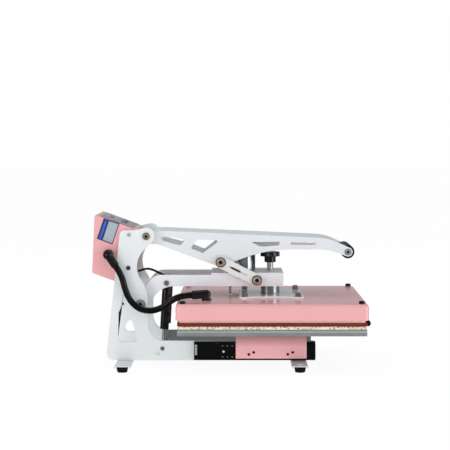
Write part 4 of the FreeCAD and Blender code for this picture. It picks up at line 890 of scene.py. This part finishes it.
def beadRowTree():
    tree, inputs = newTree("beadRow", {"Start": (0.0, 0.0, 0.0), "Step": (0.01, 0.0, 0.0), "Count": 3,
                                       "Radius": 0.002, "Squash": (1.0, 1.0, 1.0)})
    row = put(tree, "GeometryNodeMeshLine", {"Count": inputs["Count"], "Start Location": inputs["Start"],
                                             "Offset": inputs["Step"]})
    bead = put(tree, "GeometryNodeMeshUVSphere", {"Segments": 16, "Rings": 10, "Radius": inputs["Radius"]})
    smooth = put(tree, "GeometryNodeSetShadeSmooth", {"Geometry": bead})
    strew = put(tree, "GeometryNodeInstanceOnPoints", {"Points": row, "Instance": smooth,
                                                       "Scale": inputs["Squash"]})
    return closeTree(tree, inputs, strew)


def ribRingTree():
    tree, inputs = newTree("ribRing", {"Centre": (0.0, 0.0, 0.0), "Radius": 0.01, "Count": 12,
                                       "Rib": (0.001, 0.001, 0.01)})
    ring = put(tree, "GeometryNodeMeshCircle", {"Vertices": inputs["Count"], "Radius": inputs["Radius"]})
    where = put(tree, "GeometryNodeInputPosition")
    face = put(tree, "FunctionNodeAlignRotationToVector", {"Vector": where}, axis="X", pivot_axis="Z")
    rib = put(tree, "GeometryNodeMeshCube", {"Size": inputs["Rib"]})
    strew = put(tree, "GeometryNodeInstanceOnPoints", {"Points": ring, "Instance": rib, "Rotation": face})
    place = put(tree, "GeometryNodeTransform", {"Geometry": strew, "Translation": inputs["Centre"]})
    return closeTree(tree, inputs, place)


def facingPairTree():
    tree, inputs = newTree("facingPair", {"Place": (0.0, 0.0, 0.0), "Seat": 0.08}, repeats=True)
    halves = tree.nodes.new("GeometryNodeJoinGeometry")
    for side in sides.values():
        outward = combined("MULTIPLY", inputs["Seat"], side)
        seat = put(tree, "ShaderNodeCombineXYZ", {"Y": outward})
        where = put(tree, "ShaderNodeVectorMath", {0: inputs["Place"], 1: seat})
        place = put(tree, "GeometryNodeTransform", {"Geometry": inputs["Geometry"], "Translation": where,
                                                    "Rotation": (0, 0, 0 if side < 0 else math.pi)})
        tree.links.new(place.outputs["Geometry"], halves.inputs["Geometry"])
    return closeTree(tree, inputs, halves)


def grown(name, tree, sizes, finish, node, seed=None):
    carrier = bpy.data.objects.new(name + "Carrier", seed or bpy.data.meshes.new(name + "Carrier"))
    scene.collection.objects.link(carrier)
    modifier = carrier.modifiers.new("grow", "NODES")
    modifier.node_group = tree
    for item in tree.interface.items_tree:
        if item.in_out == "INPUT" and item.name != "Geometry":
            modifier[item.identifier] = finish if item.name == "Finish" else sizes[item.name]
    mesh = meshOf(carrier)
    bpy.data.objects.remove(carrier)
    mesh.name = name
    settle(newPiece(name, mesh, finish), node)


screwThread = threadTree()
beadRow = beadRowTree()
ribRing = ribRingTree()
facingPair = facingPairTree()

# Cap bolts at the joints: a dark washer or rim, a rounded head and a hex socket with a dark disc on its floor
# as painted shade, on both sides
boltHeads = {
    "around": 48,
    "roundSteps": 5,
    "socketDepth": 2.2 * mm,
    "socketShare": 0.6,
    "socketBevel": (1.06, 0.2 * mm),
    "socketFloor": (0.985, 0.4 * mm),
    "chamfer": 0.3 * mm,
    "clear": 0.1 * mm,
    "sharpAngle": math.radians(30),
}


# Mesh turned about the Y axis, its outer end towards -Y; each ring is (radius, height, hexagonal)
def turnedSideways(name, profile, finish):
    around = boltHeads["around"]
    rings = []
    for radius, height, hexagonal in profile:
        ring = []
        for step, (cos, sin) in enumerate(circle(around)):
            reach = radius
            if hexagonal:
                turn = 2 * math.pi * step / around
                reach *= math.cos(math.pi / 6) / math.cos(turn % (math.pi / 3) - math.pi / 6)
            ring.append((reach * cos, -height, reach * sin))
        rings.append(ring)
    piece = skinned(name, rings, finish)
    mesh = piece.data
    mesh.set_sharp_from_angle(angle=boltHeads["sharpAngle"])
    bpy.data.objects.remove(piece)
    return mesh


def capBoltPair(name, bolt):
    x, z = bolt["at"]
    sizes = {"Place": (x * mm, 0.0, z * mm), "Seat": bolt["seat"] * mm}
    rimRadius, rimHeight = (value * mm for value in bolt["rim"])
    chamfer = boltHeads["chamfer"]
    rim = [(rimRadius, 0.0, False), (rimRadius, rimHeight - chamfer, False),
           (rimRadius - chamfer, rimHeight, False), (rimRadius / 2, rimHeight, False)]
    radius, height, rounding = (value * mm for value in bolt["head"])
    head = [(radius, boltHeads["clear"], False)]
    for step in range(boltHeads["roundSteps"] + 1):
        turn = math.pi / 2 * step / boltHeads["roundSteps"]
        head.append((radius - rounding * (1 - math.cos(turn)),
                     height - rounding * (1 - math.sin(turn)), False))
    socket = bolt["socket"] * mm
    depth = height - min(boltHeads["socketDepth"], boltHeads["socketShare"] * height)
    mouth, bevel = boltHeads["socketBevel"]
    head += [(socket * mouth, height, True), (socket, height - bevel, True), (socket, depth, True)]
    # the dark disc on the socket's floor is painted shade for the depth of the recess
    share, thickness = boltHeads["socketFloor"]
    floor = [(socket * share, depth, True), (socket * share, depth + thickness, True)]
    for part, profile, finish in (("Rims", rim, boltRim), ("Heads", head, bolt["finish"]),
                                  ("Sockets", floor, blackSteel)):
        grown(name + part, facingPair, sizes, finish, bolt["node"],
              turnedSideways(name + part, profile, finish))


for name, bolt in capBolts.items():
    capBoltPair(name, bolt)
print("bolt heads made:", len(capBolts))

# Pressure screw: a turned core with its foot in the cup, and a rolled thread
pressureScrew = {
    "coreRadius": 6.3 * mm,
    "footHeight": 6.3 * mm,
    "footBevel": 0.8 * mm,
    "threadRadius": 6.5 * mm,
    "threadDepth": 0.5 * mm,
    "threadRunOut": 8 * mm,
    "pitch": 2.0 * mm,
    "around": 48,
    "edge": 0.3 * mm,
}


def pressureScrewPieces():
    low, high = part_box("pressure_screw")
    knobLow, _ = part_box("pressure_knob")
    centre = (low + high) / 2
    foot = (high.x - low.x) / 2
    cut = pressureScrew["footBevel"]
    footTop = low.z + pressureScrew["footHeight"]
    profile = [(foot - cut, low.z), (foot, low.z + cut), (foot, footTop - cut), (foot - cut, footTop),
               (pressureScrew["coreRadius"], footTop), (pressureScrew["coreRadius"], high.z)]
    rings = [[(centre.x + radius * cos, centre.y + radius * sin, z)
              for cos, sin in circle(pressureScrew["around"])] for radius, z in profile]
    core = skinned("pressureScrew", rings, stemSteel, smooth=False)
    edged(core, pressureScrew["edge"])
    settle(core, "pressure_screw", inPlace=True)
    start = footTop + pressureScrew["threadRunOut"]
    grown("pressureThread", screwThread,
          {"Foot": (centre.x, centre.y, start), "Radius": pressureScrew["threadRadius"],
           "Pitch": pressureScrew["pitch"], "Height": knobLow.z - start,
           "Depth": pressureScrew["threadDepth"]},
          stemSteel, "pressure_screw")


pressureScrewPieces()

# Knob hub: upright ribs under the star
knobRibs = {"count": 14, "rib": (1.6 * mm, 1.8 * mm, 10.5 * mm), "hubRadius": 11.2 * mm, "rise": 6.2 * mm}


def knobHubRibs():
    low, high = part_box("pressure_knob")
    grown("knobHubRibs", ribRing,
          {"Centre": ((low.x + high.x) / 2, 0.0, low.z + knobRibs["rise"]), "Radius": knobRibs["hubRadius"],
           "Count": knobRibs["count"], "Rib": knobRibs["rib"]}, blackPlastic, "pressure_knob")


knobHubRibs()

# Drawer slides: dimples beside the fixing hole, the bright ends of the ball cages, a rivet and ball rows
slides = {
    "dimpleX": (-20 * mm, 10.2 * mm, 3),
    "dimpleZ": {"Upper": 45.3 * mm, "Lower": 22.2 * mm},
    "dimple": (1.5 * mm, (1.2, 0.25, 0.8)),
    "proud": 0.05 * mm,
    "ball": (1.9 * mm, (1.0, 1.0, 1.0)),
    "ballStep": 9.0 * mm,
    "ballEnds": 15 * mm,
    "ballInset": 4.6 * mm,
    "ballGap": 0.2 * mm,
    "cageX": -74.4 * mm,
    "cageZ": (27.5 * mm, 46.0 * mm),
    "cageTeeth": 7,
    "cageTooth": (1.75 * mm, (1.5, 0.35, 0.72)),
    "cageProud": 0.4 * mm,
    "rivetAt": (-17.8 * mm, 33.5 * mm),
    "rivet": (2.5 * mm, (1.0, 0.2, 1.0)),
}


def slideBeads(name, start, step, count, kind, finish, node):
    radius, squash = slides[kind]
    grown(name, beadRow, {"Start": start, "Step": step, "Count": count, "Radius": radius, "Squash": squash},
          finish, node)


def slideDetails():
    innerLow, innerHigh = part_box("slide_inner_rails")
    middleLow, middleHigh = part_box("slide_middle_rails")
    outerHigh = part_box("slide_outer_rails")[1]
    for name, side in sides.items():
        face = side * (innerHigh.y + slides["proud"])
        start, step, count = slides["dimpleX"]
        for row, z in slides["dimpleZ"].items():
            slideBeads(name + row + "RailDimples", (start, face, z), (step, 0.0, 0.0), count, "dimple",
                       sheetSteel, "slide_inner_rails")
        low, high = slides["cageZ"]
        count = slides["cageTeeth"]
        cageFace = side * (middleHigh.y + slides["cageProud"])
        slideBeads(name + "BallCage", (slides["cageX"], cageFace, low),
                   (0.0, 0.0, (high - low) / (count - 1)), count, "cageTooth", cageZinc, "slide_middle_rails")
        x, z = slides["rivetAt"]
        slideBeads(name + "RailRivet", (x, face, z), (0.0, 0.0, 0.0), 1, "rivet", cageZinc,
                   "slide_inner_rails")
        middle = side * (outerHigh.y - slides["ballInset"])
        start = middleLow.x + slides["ballEnds"]
        count = int((middleHigh.x - middleLow.x - 2 * slides["ballEnds"]) / slides["ballStep"])
        for row, z in (("Upper", innerHigh.z + slides["ballGap"]), ("Lower", innerLow.z - slides["ballGap"])):
            slideBeads(name + row + "RailBalls", (start, middle, z), (slides["ballStep"], 0.0, 0.0), count,
                       "ball", brightSteel, "slide_middle_rails")


slideDetails()
print("grown details made")


# Flat plates in one piece: each is a corner list on a plane, given a small thickness
def platesOn(name, outlines, lift, finish, node):
    shape = bmesh.new()
    for corners in outlines:
        lower = [shape.verts.new(corner) for corner in corners]
        upper = [shape.verts.new(corner + lift) for corner in corners]
        shape.faces.new(lower)
        shape.faces.new(upper)
        for index in range(len(corners)):
            after = (index + 1) % len(corners)
            shape.faces.new((lower[index], lower[after], upper[after], upper[index]))
    bmesh.ops.recalc_face_normals(shape, faces=shape.faces)
    settle(fromBmesh(name, shape, finish, smooth=False), node)


# Type plate on the left side of the control box: blue stripe and a bare field
typePlate = {
    "corners": [(-266.2, 307.1), (-233.2, 296.6), (-248.2, 252.9), (-280.5, 264.9)],
    "layer": 0.15 * mm,
    "areas": [
        ("typePlateBorder", (0.0, 0.0, 1.0, 1.0), paint(48, 52, 106)),
        ("typePlateStripe", (0.0, 0.0, 0.33, 1.0), paint(16, 36, 112)),
        ("typePlateStripeHalo", (0.09, 0.06, 0.27, 0.97), paint(30, 66, 150)),
        ("typePlateStripeCentre", (0.125, 0.10, 0.235, 0.93), paint(44, 96, 184)),
        ("typePlateField", (0.36, 0.05, 0.95, 0.95), paint(162, 172, 182)),
    ],
}


def typePlatePieces():
    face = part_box("control_box_sides")[0].y
    corner = [Vector((x * mm, face, z * mm)) for x, z in typePlate["corners"]]

    def spot(u, v):
        return corner[0].lerp(corner[1], u).lerp(corner[3].lerp(corner[2], u), v)

    outward = Vector((0, -1, 0))
    for layer, (name, (u0, v0, u1, v1), colour) in enumerate(typePlate["areas"]):
        outline = [spot(u0, v0), spot(u1, v0), spot(u1, v1), spot(u0, v1)]
        finish = inkAndPaintedShade(name + "Ink", colour)
        platesOn(name, [outline], outward * (typePlate["layer"] * (layer + 1)), finish, "control_panel")


typePlatePieces()

# Links: flat marks of painted shade for a dark slot and two shallow grooves in line with it, on both outer
# faces
linkMarks = {
    "face": 78.0 * mm,
    "thickness": 0.09 * mm,
    "endSteps": 6,
    "marks": [("Slot", 0.30, 0.50, 2.1 * mm, paint(58, 66, 66)),
              ("RearGroove", 0.235, 0.285, 1.4 * mm, paint(176, 186, 176)),
              ("FrontGroove", 0.55, 0.72, 1.1 * mm, paint(186, 184, 190))],
}


def linkSlotMarks():
    start, end = (Vector((x, 0, z)) * mm for x, z in (capBolts["linkUpperBolt"]["at"],
                                                      capBolts["linkLowerBolt"]["at"]))
    along = (end - start).normalized()
    across = Vector((-along.z, 0, along.x))
    steps = linkMarks["endSteps"]
    for label, first, last, half, colour in linkMarks["marks"]:
        markCoat = inkAndPaintedShade("link" + label + "Shade", colour)
        for name, side in sides.items():
            outline = []
            for share, turn in ((first, math.pi), (last, 0.0)):
                for step in range(steps + 1):
                    angle = turn - math.pi / 2 + math.pi * step / steps
                    outline.append(start.lerp(end, share)
                                   + (along * math.cos(angle) + across * math.sin(angle)) * half)
            outline = [point + Vector((0, side * linkMarks["face"], 0)) for point in outline]
            lift = Vector((0, side, 0)) * linkMarks["thickness"]
            platesOn(name + "Link" + label, [outline], lift, markCoat, "side_links")


linkSlotMarks()


# Control panel: digits in the window and marks on the keys
panelPlanes = {"upright": 0.5, "sideways": 0.05, "gap": 0.1 * mm}


def topPlane(node):
    found = {}
    for face in nodes[node].data.polygons:
        normal = face.normal
        if normal.z < panelPlanes["upright"] or abs(normal.y) > panelPlanes["sideways"]:
            continue
        key = round(normal.dot(face.center) / panelPlanes["gap"])
        found.setdefault(key, [0.0, normal.copy(), face.center.copy()])[0] += face.area
    best = max(found.values(), key=lambda entry: entry[0])
    return best[2], best[1]


def panelBasis(node):
    point, normal = topPlane(node)
    across = Vector((0, 1, 0))
    upward = normal.cross(across).normalized()
    if upward.z < 0:
        upward = -upward
    low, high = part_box(node)
    middle = (low + high) / 2
    middle -= normal * normal.dot(middle - point)
    return middle, across, upward, normal


panelInk = {
    "digit": (5.6 * mm, 11.0 * mm),
    "stroke": 1.3 * mm,
    "drawnShare": 0.86,
    "gapShare": 0.12,
    "spacing": 7.8 * mm,
    "readouts": [("temperature", "180", -13.5 * mm), ("seconds", "030", 13.5 * mm)],
    "lift": 0.12 * mm,
    "thickness": 0.1 * mm,
    "mark": 3.4 * mm,
    "arrowFoot": 0.7,
    "markThickness": 0.12 * mm,
}
segmentsOf = {"0": "abcdef", "1": "bc", "3": "abgcd", "8": "abcdefg"}


def segmentBars(width, height, stroke):
    half = height / 2
    gap = stroke * panelInk["gapShare"]
    bars = {}
    for name, z in {"a": half, "g": 0.0, "d": -half}.items():
        z -= math.copysign(stroke / 2, z) if z else 0
        bars[name] = (Vector((-width / 2 + stroke / 2 + gap, z)), Vector((width / 2 - stroke / 2 - gap, z)))
    for name, x, z0, z1 in (("f", -1, 0, 1), ("b", 1, 0, 1), ("e", -1, -1, 0), ("c", 1, -1, 0)):
        x *= width / 2 - stroke / 2
        low = z0 * (half - stroke / 2) + gap
        high = z1 * (half - stroke / 2) - gap
        bars[name] = (Vector((x, low)), Vector((x, high)))
    return bars


def barOutline(first, second, stroke):
    along = (second - first).normalized()
    beside = Vector((-along.y, along.x))
    tip = stroke / 2
    return [first, first + along * tip + beside * tip, second - along * tip + beside * tip, second,
            second - along * tip - beside * tip, first + along * tip - beside * tip]


def displayDigits():
    middle, across, upward, normal = panelBasis("display_window")
    finish = inkAndPaintedShade("unlitSegment", paint(108, 100, 110), 0.3)
    bars = segmentBars(*panelInk["digit"], panelInk["stroke"])
    for name, digits, shift in panelInk["readouts"]:
        outlines = []
        for index, digit in enumerate(digits):
            offset = shift + (index - (len(digits) - 1) / 2) * panelInk["spacing"]
            for segment in segmentsOf[digit]:
                outline = barOutline(*bars[segment], panelInk["stroke"] * panelInk["drawnShare"])
                outlines.append([middle + across * (offset + p.x) + upward * p.y + normal * panelInk["lift"]
                                 for p in outline])
        platesOn(name + "Digits", outlines, normal * panelInk["thickness"], finish, "display_window")


def keyMarks():
    markCoat = inkAndPaintedShade("keyMarkInk", paint(232, 234, 236))
    size = panelInk["mark"]
    foot = size * panelInk["arrowFoot"]
    marks = {
        "menu_button": [(cos * size, sin * size) for cos, sin in circle(6)],
        "down_button": [(0, -size), (size, foot), (-size, foot)],
        "up_button": [(0, size), (-size, -foot), (size, -foot)],
    }
    for node, corners in marks.items():
        middle, across, upward, normal = panelBasis(node)
        outline = [middle + across * x + upward * y for x, y in corners]
        platesOn(node.split("_")[0] + "KeyMark", [outline], normal * panelInk["markThickness"], markCoat, node)


displayDigits()
keyMarks()
print("panel marks made")
